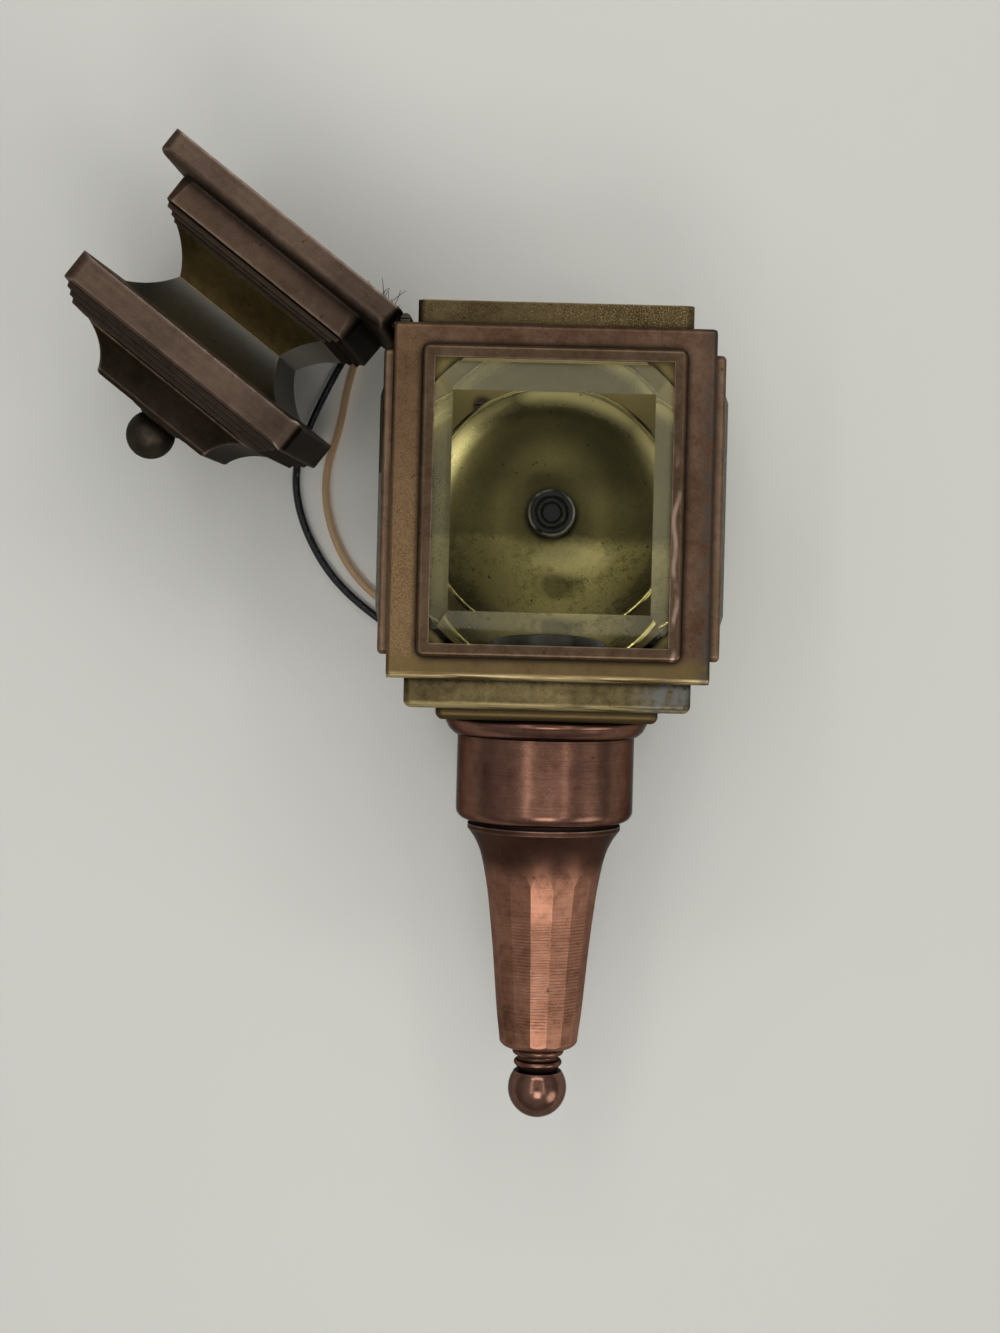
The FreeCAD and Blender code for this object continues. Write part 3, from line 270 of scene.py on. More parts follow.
def aged_metal(name, deep, body, light, bright, rough=(0.36, 0.5), mottle=(0.9, 0.5, 0.5), cloud=45.0,
               wear=0.9, rub=0.0007, spare=None, grime_and_shade=0.9, reach=0.0022, pits=0.5, lines=None, ribs=None,
               closed=False, tints=(), dull=None, matt=None, grazing=NEUTRAL_GRAZING):
    """Old metal: clouds of patina, fine grain, dark pits, rubbed edges, and creases darkened by soiling and
    as painted shade.

    mottle gives the strength of clouds, blots and grains; rub is how far wear reaches from an edge,
    reach how far the soiling and painted shade reach from a corner, and spare masks edges that are not
    rubbed. lines stretches a second grain, for lathe rings or brushing, and ribs is added to the relief.
    closed takes places as on the closed roof. tints are (mask, colour) pairs, some of them painted light;
    dull is added to the roughness, matt masks a pale, less metallic layer, and grazing is the colour of
    reflections along the surface."""
    m = new_finish(name)
    here = m.place(closed=closed)
    clouds = m.noise(here, cloud, 4.0, 0.6)
    blots = m.noise(here, cloud * 8, 3.0)
    grains = m.noise(here, FINE_GRAIN, 2.0, 0.7)
    by_cloud, by_blot, by_grain = mottle
    tone = 0.5 + (clouds - 0.5) * by_cloud + (blots - 0.5) * by_blot + (grains - 0.5) * by_grain
    height = grains * 0.6 + blots * 0.4
    if lines:
        strokes = m.noise(m.place(lines, closed), 1.0, 3.0, 0.65)
        tone = tone + (strokes - 0.5) * 0.5
        height = height + strokes * 0.7
    colour = tone.clamped().ramp((0.15, deep), (0.5, body), (0.9, light))
    for mask, tint in tints:
        colour = m.mix(mask(m, here, blots), colour, tint)
    pitted = m.noise(here, PIT_GRAIN, 2.0).between(0.68, 0.76) * pits
    rubbed = (m.edges(rub) * (blots * 1.6 - 0.1) * wear).clamped()
    if spare:
        rubbed = rubbed * (1.0 - spare(m, here, blots))
    # ambient occlusion darkens creases, partly as soiling and partly as painted shade
    pits_grime_and_shade = (m.creases(reach) * grime_and_shade).most(pitted)
    colour = m.mix(rubbed, colour, bright)
    colour = m.mix(pits_grime_and_shade, colour, SOOT_AND_SHADE)
    low, high = rough
    roughness = (low + (high - low) * (blots + grains) * 0.6 + pits_grime_and_shade * 0.3 - rubbed * 0.06).clamped()
    if ribs:
        height = height + ribs(m, here)
    if dull:
        roughness = roughness + dull(m, here)
    metallic = 1.0 - matt(m, here, blots) * 0.8 if matt else 1.0
    return m.surface(m.principled({"Base Color": colour, "Roughness": roughness, "Metallic": metallic,
                                   "Specular Tint": (*grazing, 1.0), "Normal": m.bump(height, RELIEF)}))


# Masks: where a tint lies on its piece

def left_bar(m, here, blots):
    """Golden grains down the left bar of the front, thicker towards its foot."""
    grains = 0.3 + m.noise(here, 3600.0, 2.0, 0.6).between(0.40, 0.62) * 0.7
    low = 0.35 + m.part(here, "Z").between(0.035, -0.02) * 0.65
    return m.part(here, "X").between(*LEFT_BAR_EDGES) * grains * low


def low_bar(m, here, blots):
    """Brassy lower bar of the front."""
    bar = m.part(here, "Z").between(BOX_BOTTOM + 0.0079, BOX_BOTTOM + 0.0039)
    return (bar * (0.25 + blots * 0.9)).clamped()


def worn_corner(m, here, blots):
    """Grey-black wear down the right edge of the front."""
    return m.part(here, "X").between(*RIGHT_WEAR) * blots.between(0.35, 0.6) * 0.7


def gold_specks(m, here, blots):
    """Gold specks on the collar, more of them on its right."""
    grains = m.noise(here, 3000.0, 2.0, 0.7).between(0.52, 0.66)
    return grains * (0.2 + m.part(here, "X").between(-0.02, 0.02) * 0.5)


def grey_end(m, here, blots):
    """Grey patch at the right end of the tray."""
    side = m.part(here, "X").between(*TRAY_END) * m.part(here, "Y").between(*TRAY_FRONT)
    return side * blots.between(0.3, 0.62) * 0.8


def box_inside(m, here, blots):
    """Bright inner faces of the walls."""
    out_x = m.part(here, "X").size()
    out_y = (m.part(here, "Y") - AXIS_Y).size()
    return out_x.most(out_y).between(BOX_HALF - 0.0004, BOX_HALF - 0.0007)


def hinge_end_shade(m, here, blots):
    """Painted shade: dark end of the roof, beside its hinge."""
    ends = m.facing(HINGE_SIDE).between(0.55, 0.85) * 0.85
    return ends.most(m.part(here, "X").between(-0.012, -0.036) * 0.4)


def chimney_end_reflection(m, here, blots):
    """Painted reflection: pale end of the chimney below its waist, beside the hinge."""
    below = m.part(here, "Z").between(ROOF_WAIST + 0.0006, ROOF_WAIST - 0.0004)
    return m.facing(HINGE_SIDE).between(0.55, 0.85) * below


def hood_steps_shade(m, here, blots):
    """Painted shade: dark steps above the hood's band."""
    return m.part(here, "Z").between(HOOD_STEPS - 0.0003, HOOD_STEPS + 0.0006) * (0.62 + blots * 0.5)


def block_steps_shade(m, here, blots):
    """Painted shade: dark steps at the top of the block."""
    return m.part(here, "Z").between(BLOCK_STEPS - 0.0002, BLOCK_STEPS + 0.0008) * (0.62 + blots * 0.5)


def above_waist(m, here, blots):
    """Grey upper half of the chimney."""
    grey = m.part(here, "Z").between(ROOF_WAIST - 0.0004, ROOF_WAIST + 0.0008)
    return (grey * (0.66 + blots * 0.5)).clamped()


def dish_radius(m, here):
    """Distance from the y axis, which runs through the dish and the knob."""
    flat = m.node("ShaderNodeVectorMath", {"operation": "MULTIPLY"}, {0: here, 1: (1, 0, 1)})
    return m.node("ShaderNodeVectorMath", {"operation": "LENGTH"}, {0: flat}, "Value")


def patch(m, here, x, z, wide, high):
    """Soft oval about (x, z), in metres: 1 in its middle, 0 outside."""
    about = m.node("ShaderNodeVectorMath", {"operation": "SUBTRACT"}, {0: here, 1: (x, 0, z)})
    squeeze = {0: about, 1: (1 / wide, 0, 1 / high)}
    oval = m.node("ShaderNodeVectorMath", {"operation": "MULTIPLY"}, squeeze)
    out = m.node("ShaderNodeVectorMath", {"operation": "LENGTH"}, {0: oval}, "Value")
    return (out + m.noise(here, 260.0, 3.0) - 0.5).between(1.1, 0.4)


def dish_dark_reflection(m, here, blots):
    """Painted dark reflection over the dish down to a line below the knob, and thinner over its lower left.
    """
    line = m.part(here, "Z") - DARK_REFLECTION_LINE + (blots - 0.5) * 0.004
    above = line.between(-0.0035, 0.002) * 0.72
    left = m.part(here, "X").between(0.004, -0.020) * 0.5
    return (above.most(left) + blots * 0.3).clamped()


def dish_dark_reflection_patches(m, here, blots):
    """Painted dark reflection above the knob and in one patch near the bottom of the dish."""
    inner = dish_radius(m, here).between(DISH_R * 0.84, DISH_R * 0.66)
    above = m.part(here, "Z").between(0.002, 0.012) * inner
    low = patch(m, here, x=0.0022, z=-0.0207, wide=0.008, high=0.005)
    return (above * 0.62).most(low * 0.6)


def dish_highlight_patch(m, here, blots):
    """Painted highlight: a bright patch below the knob."""
    return patch(m, here, x=0.0055, z=-0.0122, wide=0.014, high=0.006) * 0.6


def dish_highlight_arcs(m, here, blots):
    """Painted highlight: a pale band inside the upper half of the dish's edge, in three lengths."""
    out = dish_radius(m, here)
    band = out.between(DISH_R * 0.79, DISH_R * 0.95) * out.between(DISH_R * 0.995, DISH_R * 0.97)
    left = m.facing((0.82, 0.0, -0.57)).between(0.40, 0.62)
    middle = m.facing((-0.17, 0.0, -0.98)).between(0.40, 0.68)
    right = m.facing((-0.95, 0.0, -0.3)).between(0.44, 0.68)
    return band * left.most(middle).most(right)


def arc_highlight_matt(m, here, blots):
    """The painted highlight band, made less metallic; its left length less so."""
    return dish_highlight_arcs(m, here, blots) * (1.0 - m.part(here, "X").between(-0.006, -0.012) * 0.6)


def satin_dish(m, here):
    """The middle of the dish is duller than its edge."""
    return dish_radius(m, here).between(DISH_R * 0.92, DISH_R * 0.72) * 0.26


def knob_rim_highlight(m, here):
    """Painted highlight: thin pale line round the face of the knob."""
    out = dish_radius(m, here)
    ring = out.between(KNOB_R - 0.0009, KNOB_R - 0.0006) * out.between(KNOB_R - 0.0001, KNOB_R - 0.0003)
    face = m.part(here, "Y").between(KNOB_FACE + 0.0022, KNOB_FACE + 0.0015)
    return ring * face * m.noise(here, 350.0).between(0.3, 0.6)


def streaks(m, across):
    """Level streaks, across of them in a metre."""
    return m.noise(m.place((across, across, 1500.0)), 1.0, 3.0).between(0.36, 0.6)


def low_edge_highlight(m, here, blots):
    """Painted highlight: bright streaked line along the lower edge of the front plate."""
    return m.part(here, "Z").between(BOX_BOTTOM + 0.0020, BOX_BOTTOM + 0.0009) * streaks(m, 60.0)


def tray_edge_highlight(m, here, blots):
    """Painted highlight: bright streaked line along the lower edge of the tray."""
    z = m.part(here, "Z")
    line = z.between(TRAY_BOTTOM + 0.0019, TRAY_BOTTOM + 0.0008)
    return line * z.between(TRAY_BOTTOM - 0.0001, TRAY_BOTTOM + 0.0001) * streaks(m, 50.0)


def tray_top(m, here, blots):
    """Dark specks along the top of the tray."""
    top = m.part(here, "Z").between(BOX_BOTTOM - 0.0018, BOX_BOTTOM - 0.0004)
    return top * m.noise(here, 1500.0, 3.0, 0.7).between(0.46, 0.7) * 0.8


def step_shade(m, here, blots):
    """Browner step below the tray."""
    return m.part(here, "Z").between(TRAY_BOTTOM + 0.0001, TRAY_BOTTOM - 0.0003)


def bead_highlight(m, here, blots):
    """Painted highlight: wavy pale line down the right bar of the front bezel."""
    z = m.part(here, "Z")
    middle = (z * 470.0).sine() * 0.0004 + (z * 190.0).sine() * 0.0004 + BEAD_X
    line = (m.part(here, "X") - middle).size().between(0.0009, 0.0001)
    # noise breaks the painted highlight into patches
    gaps = m.noise(here, 130.0, 2.0).between(0.38, 0.6) * z.between(0.016, 0.002)
    return line * gaps * m.part(here, "Y").between(*BEAD_FACE) * 0.8


def bell_shade(m, here, blots):
    """Painted shade under the cup, on the flare of the tail."""
    return m.part(here, "Z").between(*BELL_SPAN) * 0.9


def chatter(m, here):
    """Fine tool marks on the staves of the tail."""
    z = m.part(here, "Z")
    band = z.between(STAVES_TOP - 0.010, STAVES_TOP - 0.016)
    band = band * z.between(STAVES_END + 0.004, STAVES_END + 0.012)
    patches = m.noise(here, 60.0, 1.0).between(0.3, 0.5)
    return (z * (2 * math.pi / CHATTER_STEP)).sine() * band * patches * 1.5


def bevelled_glass():
    """Clear, faintly green glass with greener edges and faint dust; a grey-green diffuse layer, a painted
    sheen, lies on its bevels, most on the upper and right ones.
    """
    m = new_finish("bevelled_glass")
    here = m.place()
    normal = m.normal()
    square = m.part(normal, "X").size().most(m.part(normal, "Y").size())
    bevel = square.between(0.995, 0.975)
    dust = m.noise(here, 700.0, 2.0, 0.6).between(0.74, 0.8)
    pane = m.mix(m.edges(0.0006), (0.96, 0.97, 0.93), (0.55, 0.62, 0.50))
    clear = m.principled({"Base Color": m.mix(bevel, pane, (0.95, 0.93, 0.80)), "Roughness": bevel * 0.02,
                          "Transmission Weight": 1.0, "IOR": 1.5, "Specular Tint": (0.35, 0.33, 0.25, 1.0)})
    sheen_colour = m.mix(m.noise(here, 160.0), (0.34, 0.31, 0.17), (0.43, 0.40, 0.25))
    bevel_sheen = m.principled({"Base Color": sheen_colour, "Roughness": 0.6})
    front = m.part(normal, "Y").between(-0.6, -0.75)
    # the painted sheen is laid heaviest on bevels that face up or to the right; the share below also mixes in
    # real dust
    sheen_amount = 0.11 + m.part(normal, "Z") * 0.5 + m.part(normal, "X").most(0.0) * front * 0.4
    share = (bevel * sheen_amount + dust * 0.06).clamped()
    return m.surface(m.node("ShaderNodeMixShader", {}, {0: share, 1: clear, 2: bevel_sheen}))


def plastic(name, body, spot, rough=(0.3, 0.45), scale=700.0, rings=0.0, edge=None):
    """Moulded plastic: faint mottling and uneven gloss; rings turns grooves about the y axis, that far apart;
    edge is a mask and a colour for a painted highlight along an edge."""
    m = new_finish(name)
    here = m.place()
    mottle = m.noise(here, scale, 3.0)
    dust = m.noise(here, scale * 3, 2.0, 0.7).between(0.55, 0.8)
    height = mottle * 0.4
    if rings:
        height = height + (dish_radius(m, here) * (2 * math.pi / rings)).sine() * 0.3
    low, high = rough
    roughness = low + (high - low) * mottle + dust * 0.12
    colour = m.mix(mottle, body, spot)
    if edge:
        # on the knob this edge colour is a painted highlight
        mask, rubbed = edge
        colour = m.mix(mask(m, here), colour, rubbed)
    return m.surface(m.principled({"Base Color": colour, "Roughness": roughness,
                                   "Specular IOR Level": 0.35, "Normal": m.bump(height, RELIEF)}))


def dress(material, *names):
    for name in names:
        slots = NODES[name].data.materials
        slots.clear()
        slots.append(material)


# On the front plate the bright line along the lower edge is a painted highlight.
frame_copper = aged_metal(
    "frame_copper", (0.068, 0.0352, 0.0208), (0.108, 0.0624, 0.04), (0.16, 0.1, 0.068), (0.40, 0.30, 0.20),
    pits=0.4, mottle=(1.2, 0.6, 0.6),
    tints=((left_bar, (0.235, 0.152, 0.072)), (low_bar, (0.135, 0.098, 0.038)), (low_edge_highlight, (0.5, 0.39, 0.2)),
           (worn_corner, (0.05, 0.048, 0.045))))
# On the front bezel the wavy line down the right bar is a painted highlight.
bezel_bronze = aged_metal(
    "bezel_bronze", (0.0577, 0.0347, 0.0208), (0.1, 0.0631, 0.0385), (0.154, 0.104, 0.0655),
    (0.36, 0.27, 0.20), rough=(0.28, 0.4), tints=((bead_highlight, (0.44, 0.30, 0.235)),))
side_bronze = aged_metal(
    "side_bronze", (0.10, 0.062, 0.038), (0.19, 0.122, 0.078), (0.28, 0.19, 0.12), (0.40, 0.30, 0.22),
    grazing=(0.8, 0.8, 0.8))
wall_brass = aged_metal(
    "wall_brass", (0.112, 0.08, 0.0475), (0.2, 0.144, 0.09), (0.3, 0.225, 0.138), (0.42, 0.32, 0.19),
    tints=((box_inside, (0.26, 0.205, 0.082)),), grazing=(0.8, 0.8, 0.8))
collar_brass = aged_metal(
    "collar_brass", (0.0462, 0.0319, 0.0151), (0.084, 0.0605, 0.0302), (0.143, 0.101, 0.0504),
    (0.42, 0.33, 0.2), tints=((gold_specks, (0.46, 0.33, 0.14)),))
# On the tray the bright line along the lower edge is a painted highlight.
tray_brass = aged_metal(
    "tray_brass", (0.0578, 0.0435, 0.0204), (0.112, 0.085, 0.0394), (0.19, 0.143, 0.068), (0.60, 0.47, 0.24),
    mottle=(1.5, 0.8, 0.6),
    tints=((tray_top, SOOT_AND_SHADE), (tray_edge_highlight, (0.5, 0.4, 0.2)), (grey_end, (0.13, 0.14, 0.145)),
           (step_shade, (0.095, 0.065, 0.028))))
# On the roof pieces the dark steps and the dark end beside the hinge are painted shade.
roof_copper = aged_metal(
    "roof_copper", (0.0659, 0.0446, 0.0326), (0.107, 0.0714, 0.0522), (0.155, 0.104, 0.0765),
    (0.44, 0.35, 0.29), mottle=(1.0, 0.35, 0.5), lines=(40.0, 900.0, 900.0), closed=True,
    rub=0.0015, reach=0.0045,
    tints=((hood_steps_shade, (0.032, 0.022, 0.016)), (hinge_end_shade, SOOT_AND_SHADE)), grazing=ROOF_GRAZING, spare=hood_steps_shade)
block_copper = aged_metal(
    "block_copper", (0.043, 0.0289, 0.0204), (0.0785, 0.0502, 0.0349), (0.117, 0.076, 0.0537),
    (0.40, 0.30, 0.22), mottle=(1.2, 0.4, 0.5), closed=True, rub=0.0015, reach=0.0045,
    tints=((block_steps_shade, (0.030, 0.021, 0.015)), (hinge_end_shade, SOOT_AND_SHADE)), grazing=ROOF_GRAZING, spare=block_steps_shade)
cap_copper = aged_metal(
    "cap_copper", (0.0178, 0.0127, 0.009), (0.033, 0.023, 0.0166), (0.054, 0.0372, 0.0268),
    (0.30, 0.22, 0.16), mottle=(1.2, 0.4, 0.5), closed=True, rub=0.0015,
    tints=((hinge_end_shade, SOOT_AND_SHADE),), grazing=ROOF_GRAZING)
# On the chimney the dark end beside the hinge is painted shade, and its pale end below the waist a painted
# reflection.
chimney_brass = aged_metal(
    "chimney_brass", (0.07, 0.052, 0.022), (0.155, 0.113, 0.044), (0.24, 0.175, 0.07), (0.35, 0.28, 0.16),
    rough=(0.32, 0.44), mottle=(1.1, 0.3, 0.3), closed=True,
    tints=((above_waist, (0.108, 0.110, 0.104)), (hinge_end_shade, (0.03, 0.025, 0.016)),
           (chimney_end_reflection, (0.42, 0.40, 0.36))),
    grazing=(1.0, 1.0, 1.0))
rose_copper = aged_metal(
    "rose_copper", (0.0893, 0.0424, 0.0301), (0.168, 0.0838, 0.0592), (0.246, 0.128, 0.0926),
    (0.40, 0.25, 0.19), rough=(0.18, 0.26), mottle=(1.0, 0.35, 0.5), lines=(25.0, 25.0, 3000.0),
    grazing=(0.35, 0.37, 0.38))
# On the tail the dark flare under the cup is painted shade.
tail_copper = aged_metal(
    "tail_copper", (0.145, 0.063, 0.041), (0.29, 0.135, 0.086), (0.40, 0.195, 0.132), (0.5, 0.31, 0.24),
    rough=(0.30, 0.42), mottle=(1.4, 0.45, 0.6), lines=(25.0, 25.0, 1800.0), ribs=chatter,
    tints=((bell_shade, (0.052, 0.025, 0.018)),))
ball_copper = aged_metal(
    "ball_copper", (0.08, 0.04, 0.028), (0.175, 0.090, 0.066), (0.24, 0.13, 0.098), (0.4, 0.25, 0.2),
    rough=(0.12, 0.22))
dark_bronze = aged_metal(
    "dark_bronze", (0.0252, 0.0198, 0.0144), (0.0495, 0.0396, 0.0297), (0.081, 0.0648, 0.0486),
    (0.2, 0.16, 0.12))
# On the dish the dark upper part and the dark patches are painted dark reflections; the bright patch below
# the knob and the pale arcs are painted highlights.
dish_brass = aged_metal(
    "dish_brass", (0.28, 0.232, 0.086), (0.68, 0.565, 0.21), (0.80, 0.68, 0.27), (0.80, 0.70, 0.34),
    rough=(0.16, 0.26), mottle=(1.0, 0.9, 1.1), cloud=60.0, wear=0.3, pits=0.8, dull=satin_dish,
    tints=((dish_dark_reflection, (0.13, 0.108, 0.043)), (dish_dark_reflection_patches, (0.055, 0.045, 0.019)),
           (dish_highlight_patch, (0.95, 0.82, 0.38)), (dish_highlight_arcs, (1.0, 0.86, 0.40))),
    grazing=(1.0, 0.95, 0.7), matt=arc_highlight_matt)
bright_brass = aged_metal(
    "bright_brass", (0.3, 0.22, 0.1), (0.56, 0.43, 0.2), (0.7, 0.56, 0.28), (0.8, 0.66, 0.4),
    rough=(0.2, 0.35))
plated_steel = aged_metal(
    "plated_steel", (0.2, 0.19, 0.175), (0.40, 0.39, 0.365), (0.55, 0.54, 0.51), (0.7, 0.69, 0.66),
    rough=(0.28, 0.45), grime_and_shade=0.2)
tinned_copper = aged_metal(
    "tinned_copper", (0.06, 0.035, 0.025), (0.16, 0.09, 0.065), (0.3, 0.2, 0.15), (0.4, 0.3, 0.2),
    wear=0.0, grime_and_shade=0.3)
glass = bevelled_glass()
# The knob's pale rim line is a painted highlight.
knob_phenolic = plastic("knob_phenolic", (0.006, 0.0065, 0.006), (0.014, 0.015, 0.014), (0.26, 0.36),
                        rings=0.00045, edge=(knob_rim_highlight, (0.42, 0.40, 0.34)))
black_phenolic = plastic("black_phenolic", (0.010, 0.011, 0.014), (0.024, 0.026, 0.03), (0.28, 0.42))
black_rubber = plastic("black_rubber", (0.02, 0.02, 0.02), (0.045, 0.045, 0.045), (0.55, 0.7))
black_sheath = plastic("black_sheath", (0.003, 0.003, 0.004), (0.008, 0.008, 0.010), (0.22, 0.3))
tan_sheath = plastic("tan_sheath", (0.36, 0.23, 0.12), (0.46, 0.31, 0.18), (0.32, 0.45))

dress(frame_copper, "front_plate")
dress(bezel_bronze, "front_bezel")
dress(side_bronze, "left_bezel", "right_bezel")
dress(wall_brass, "left_wall", "right_wall", "back_wall", "top_plate",
      "front_tabs", "left_tabs", "right_tabs")
dress(collar_brass, "collar")
dress(tray_brass, "base_tray", "base_step", "floor_plate")
dress(roof_copper, "roof_rim", "roof_hood", "hinge_leaf_roof")
dress(block_copper, "roof_block")
dress(cap_copper, "roof_cap")
dress(chimney_brass, "roof_neck")
dress(rose_copper, "socket_cup", "neck")
dress(tail_copper, "tail")
dress(ball_copper, "tail_ball")
dress(dark_bronze, "finial_ball", "finial_washer", "hinge_pin", "hinge_leaf_fixed", "ground_screw")
dress(dish_brass, "reflector")
dress(bright_brass, "screw_shell", "centre_contact", "terminal_plates", "terminal_screws")
dress(plated_steel, "wall_strap", "stud", "lock_nut", "spacer", "ground_nut", "tie_rod", "tie_nut",
      "finial_stud", "finial_nut")
dress(glass, "front_glass", "left_glass", "right_glass")
dress(knob_phenolic, "knob")
dress(black_phenolic, "holder_body")
dress(black_rubber, "wire_bushing")
dress(black_sheath, "inner_lead_black", "black_lead")
dress(tan_sheath, "inner_lead_tan", "tan_lead")
dress(tinned_copper, "black_strands", "tan_strands")


# Pieces made here

def skin(name, grids, wrap, material, node):
    """Closed surface over grids of shape (rows, round, 3), each closed round its second axis.

    With wrap the rows close on themselves too; without it the ends get a fan to their middle point."""
    points, faces, count = [], [], 0
    for grid in grids:
        rows, around = grid.shape[:2]
        index = count + np.arange(rows * around).reshape(rows, around)
        ahead = np.roll(index, -1, axis=1)
        low, high = (slice(None), slice(None)) if wrap else (slice(0, -1), slice(1, None))
        up = np.roll(index, -1, axis=0) if wrap else index
        up_ahead = np.roll(ahead, -1, axis=0) if wrap else ahead
        quads = np.stack([index[low], ahead[low], up_ahead[high], up[high]], axis=-1)
        faces += quads.reshape(-1, 4).tolist()
        points.append(grid.reshape(-1, 3))
        count += rows * around
        if not wrap:
            points.append(np.stack([grid[0].mean(axis=0), grid[-1].mean(axis=0)]))
            faces += np.stack([ahead[0], index[0], np.full(around, count)], axis=-1).tolist()
            faces += np.stack([index[-1], ahead[-1], np.full(around, count + 1)], axis=-1).tolist()
            count += 2
    mesh = bpy.data.meshes.new(name)
    mesh.from_pydata(np.concatenate(points).tolist(), [], faces)
    mesh.polygons.foreach_set("use_smooth", np.ones(len(faces), bool))
    mesh.materials.append(material)
    piece = bpy.data.objects.new(name, mesh)
    bpy.context.scene.collection.objects.link(piece)
    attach(piece, "lantern")
    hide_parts(node)
    return piece


def tuft(name, points, count, spread, reach, rise, node):
    """Bare strands of a lead's end, each a thin tube along p(t) = foot + way * t + curl * t * t.

    Sines of the strand's number make the strands uneven, the same in each run."""
    before, end = np.array(points[-2:])
    ahead = (end - before) / np.linalg.norm(end - before)
    across = np.cross(ahead, (0.0, 1.0, 0.0))
    which = np.arange(count)
    share = 2 * which / (count - 1) - 1
    angle = np.radians(spread) * share + 0.13 * np.sin(2.7 * which)
    length = reach * (0.72 + 0.28 * np.cos(1.9 * which + 0.4))
    out = np.array((0.0, -1.0, 0.0))
    way = np.outer(np.cos(angle), ahead) + np.outer(np.sin(angle), across)
    way += np.outer(rise * (0.7 + 0.3 * np.cos(which)), out)
    curl = np.outer(0.42 * np.sin(3.1 * which + 1.0), across)
    curl += np.outer(0.16 * (1 + np.sin(2.3 * which)), out)
    t = np.linspace(0, 1, 14)[:, None, None]
    foot = end + np.outer(share * 0.75 * MM, across)
    paths = foot + (way * t + curl * t * t) * length[:, None]
    along = np.gradient(paths, axis=0)
    along /= np.linalg.norm(along, axis=2, keepdims=True)
    side = np.cross(along, (0.0, 1.0, 0.0))
    side /= np.linalg.norm(side, axis=2, keepdims=True)
    other = np.cross(along, side)
    turn = np.linspace(0, 2 * math.pi, 7)[:-1]
    radius = STRAND_R * (1 - 0.45 * t)
    tubes = paths[:, :, None] + radius[..., None] * (
        np.cos(turn)[:, None] * side[:, :, None] + np.sin(turn)[:, None] * other[:, :, None])
    return skin(name, [tubes[:, i] for i in which], False, tinned_copper, node)


def threaded_shell():
    """Screw shell rolled from thin sheet, in millimetres, with plain ends.

    Between them r = middle + depth * sin(turn + 2 pi z / pitch)."""
    top, seat, sheet = -34.55, -52.6, 0.25
    middle, depth, pitch = 13.35, 0.33, 3.63
    pocket, foot_out, foot_in = 8.5, 13.2, 12.6
    floor = seat + 0.4
    plain_foot, run_in = 1.0, 2.5
    plain_lip, run_out = 0.8, 2.0
    turn = np.linspace(0, 2 * math.pi, 97)[:-1]
    z = np.linspace(floor, top, 46)[:, None]
    fade = np.clip((z - seat - plain_foot) / run_in, 0, 1) * np.clip((top - plain_lip - z) / run_out, 0, 1)
    wall = middle + depth * fade * np.sin(turn + 2 * math.pi * z / pitch)
    z = np.broadcast_to(z, wall.shape)
    ring = np.ones_like(turn)[None]
    inside = wall[::-1] - sheet
    radii = np.concatenate([pocket * ring, foot_out * ring, wall, inside, foot_in * ring, pocket * ring])
    heights = np.concatenate([seat * ring, seat * ring, z, z[::-1], floor * ring, floor * ring])
    grid = np.stack([radii * np.cos(turn), AXIS_Y / MM + radii * np.sin(turn), heights], axis=-1) * MM
    return skin("threaded_shell", [grid], True, bright_brass, "screw_shell")


# Leads: the route of each in millimetres along the wall, from its exit in the tray's back
BLACK_EXIT = (-8.2, -49.3)
BLACK_ROUTE = ((-17.6, -46.9), (-34.5, -40.9), (-51.0, -31.9), (-65.5, -19.6), (-74.6, -3.2),
               (-77.0, 12.0), (-72.6, 25.5), (-66.5, 38.9), (-60.2, 50.5), (-55.4, 60.9))
TAN_EXIT = (-5.9, -47.4)
TAN_ROUTE = ((-15.4, -44.6), (-32.0, -37.3), (-47.5, -28.5), (-59.5, -18.0), (-66.4, -3.8),
             (-67.9, 11.0), (-63.6, 24.6), (-61.6, 37.8), (-58.0, 49.4), (-51.9, 59.0))


def lead_points(start, route):
    x, z = start
    points = [(x * MM, EXIT_Y, z * MM), (x * MM, WALL_Y, z * MM)]
    return points + [(px * MM, WALL_Y, pz * MM) for px, pz in route]


def lead(name, points, material, node):
    """Round lead on one smooth spline through its exit and along the wall."""
    curve = bpy.data.curves.new(name, "CURVE")
    curve.dimensions = "3D"
    curve.bevel_depth = LEAD_R
    curve.bevel_resolution = 5
    curve.resolution_u = 10
    curve.use_fill_caps = True
    spline = curve.splines.new("NURBS")
    spline.points.add(len(points) - 1)
    spline.points.foreach_set("co", np.array([(*p, 1.0) for p in points]).ravel())
    spline.order_u = 3
    spline.use_endpoint_u = True
    curve.materials.append(material)
    piece = bpy.data.objects.new(name, curve)
    bpy.context.scene.collection.objects.link(piece)
    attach(piece, "lantern")
    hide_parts(node)
    return piece


threaded_shell()
black_points = lead_points(BLACK_EXIT, BLACK_ROUTE)
black_wire = lead("black_wire", black_points, black_sheath, "black_lead")
black_tuft = tuft("black_tuft", black_points, count=9, spread=30.0, reach=0.0075, rise=0.03,
                  node="black_strands")
tan_points = lead_points(TAN_EXIT, TAN_ROUTE)
tan_wire = lead("tan_wire", tan_points, tan_sheath, "tan_lead")
tan_tuft = tuft("tan_tuft", tan_points, count=8, spread=24.0, reach=0.0095, rise=0.34,
                node="tan_strands")


# Stage: pale table behind the lantern, soft light and the camera

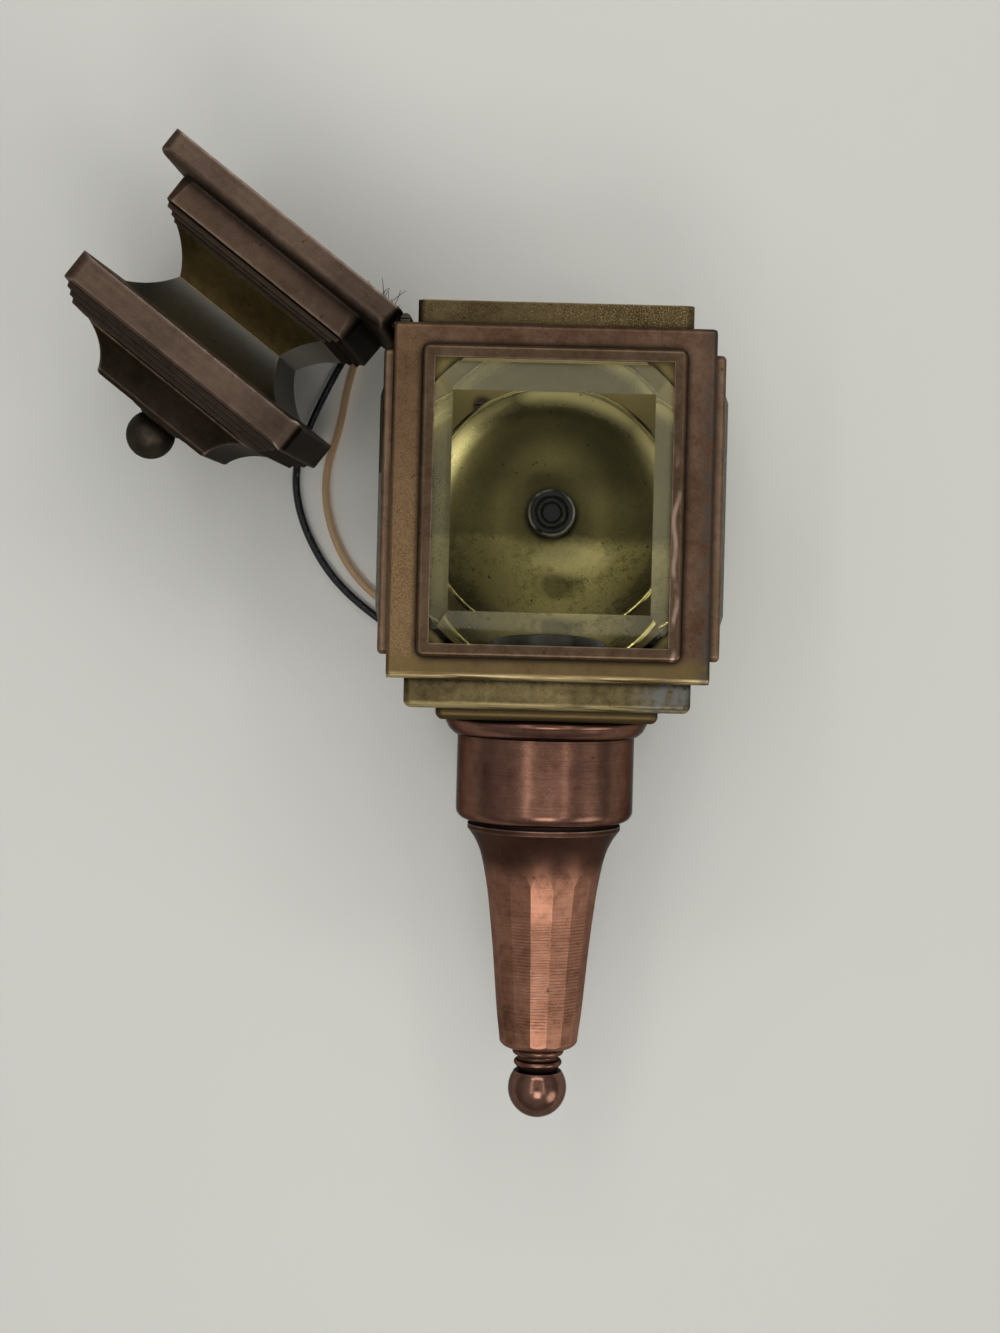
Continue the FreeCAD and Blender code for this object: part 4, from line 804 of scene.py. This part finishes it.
def table():
    """Pale board behind the lantern; it lets light and other views through from behind."""
    corners = [(x * BOARD_HALF, BOARD_Y, z * BOARD_HALF) for x, z in ((-1, -1), (1, -1), (1, 1), (-1, 1))]
    mesh = bpy.data.meshes.new("table")
    mesh.from_pydata(corners, [], [(0, 1, 2, 3)])
    board = bpy.data.objects.new("table", mesh)
    bpy.context.scene.collection.objects.link(board)
    m = new_finish("table_paint")
    colour = m.mix(m.noise(m.place(), 6.0, 4.0), BOARD_DIM, BOARD_PALE)
    paint = m.principled({"Base Color": colour, "Roughness": 0.55})
    clear = m.node("ShaderNodeBsdfTransparent", {}, {})
    behind = m.node("ShaderNodeNewGeometry", {}, {}, "Backfacing")
    path = m.node("ShaderNodeLightPath", {}, {}, "Ray Length")
    camera_ray = m.node("ShaderNodeLightPath", {}, {}, "Is Camera Ray")
    close = m.node("ShaderNodeMath", {"operation": "LESS_THAN"}, {0: path, 1: TOUCHING}) * (1.0 - camera_ray)
    shown = m.node("ShaderNodeMixShader", {}, {0: behind.most(close), 1: paint, 2: clear})
    mesh.materials.append(m.surface(shown))


def strip_light(name, place, aim, size, power):
    lamp = bpy.data.lights.new(name, "AREA")
    lamp.shape = "RECTANGLE"
    lamp.size, lamp.size_y = size
    lamp.energy = power
    lamp.color = LAMP_COLOUR
    holder = bpy.data.objects.new(name, lamp)
    holder.location = place
    holder.rotation_mode = "QUATERNION"
    holder.rotation_quaternion = (Vector(aim) - Vector(place)).to_track_quat("-Z", "Y")
    holder.visible_camera = False
    bpy.context.scene.collection.objects.link(holder)


def room_light():
    """Room round the table: dark straight ahead, pale in a ring round that, dim at the sides, one window."""
    world = bpy.data.worlds.new("room")
    bpy.context.scene.world = world
    m = Finish(world, "ShaderNodeOutputWorld")
    way = m.node("ShaderNodeTexCoord", {}, {}, "Generated")
    spread = (m.part(way, "Y") - m.part(way, "Z") * ROOM_TILT) * 0.5 + 0.5
    aside = m.node("ShaderNodeVectorMath", {"operation": "DOT_PRODUCT"}, {0: way, 1: SIDE_WINDOW}, "Value")
    light = m.mix(aside.between(*WINDOW_EDGE), spread.ramp(*ROOM), WINDOW_LIGHT)
    seen = m.node("ShaderNodeLightPath", {}, {}, "Is Camera Ray")
    colour = m.mix(seen, light, BACKDROP)
    m.surface(m.node("ShaderNodeBackground", {}, {"Color": colour, "Strength": 1.0}))


def camera():
    """Straight in front, a little below the middle, rolled as the picture is."""
    data = bpy.data.cameras.new("camera")
    data.lens = 53.8
    data.sensor_width = 36.0
    data.shift_x = -0.0371
    data.shift_y = -0.0531
    data.clip_start = 0.01
    view = bpy.data.objects.new("camera", data)
    view.location = CAMERA_PLACE
    view.rotation_mode = "QUATERNION"
    level = Vector((0, 1, 0)).to_track_quat("-Z", "Y")
    view.rotation_quaternion = level @ Quaternion((0, 0, 1), CAMERA_ROLL)
    bpy.context.scene.collection.objects.link(view)
    bpy.context.scene.camera = view


table()
room_light()
for strip in STRIPS:
    strip_light(*strip)
camera()
bpy.context.scene.view_settings.view_transform = "Standard"
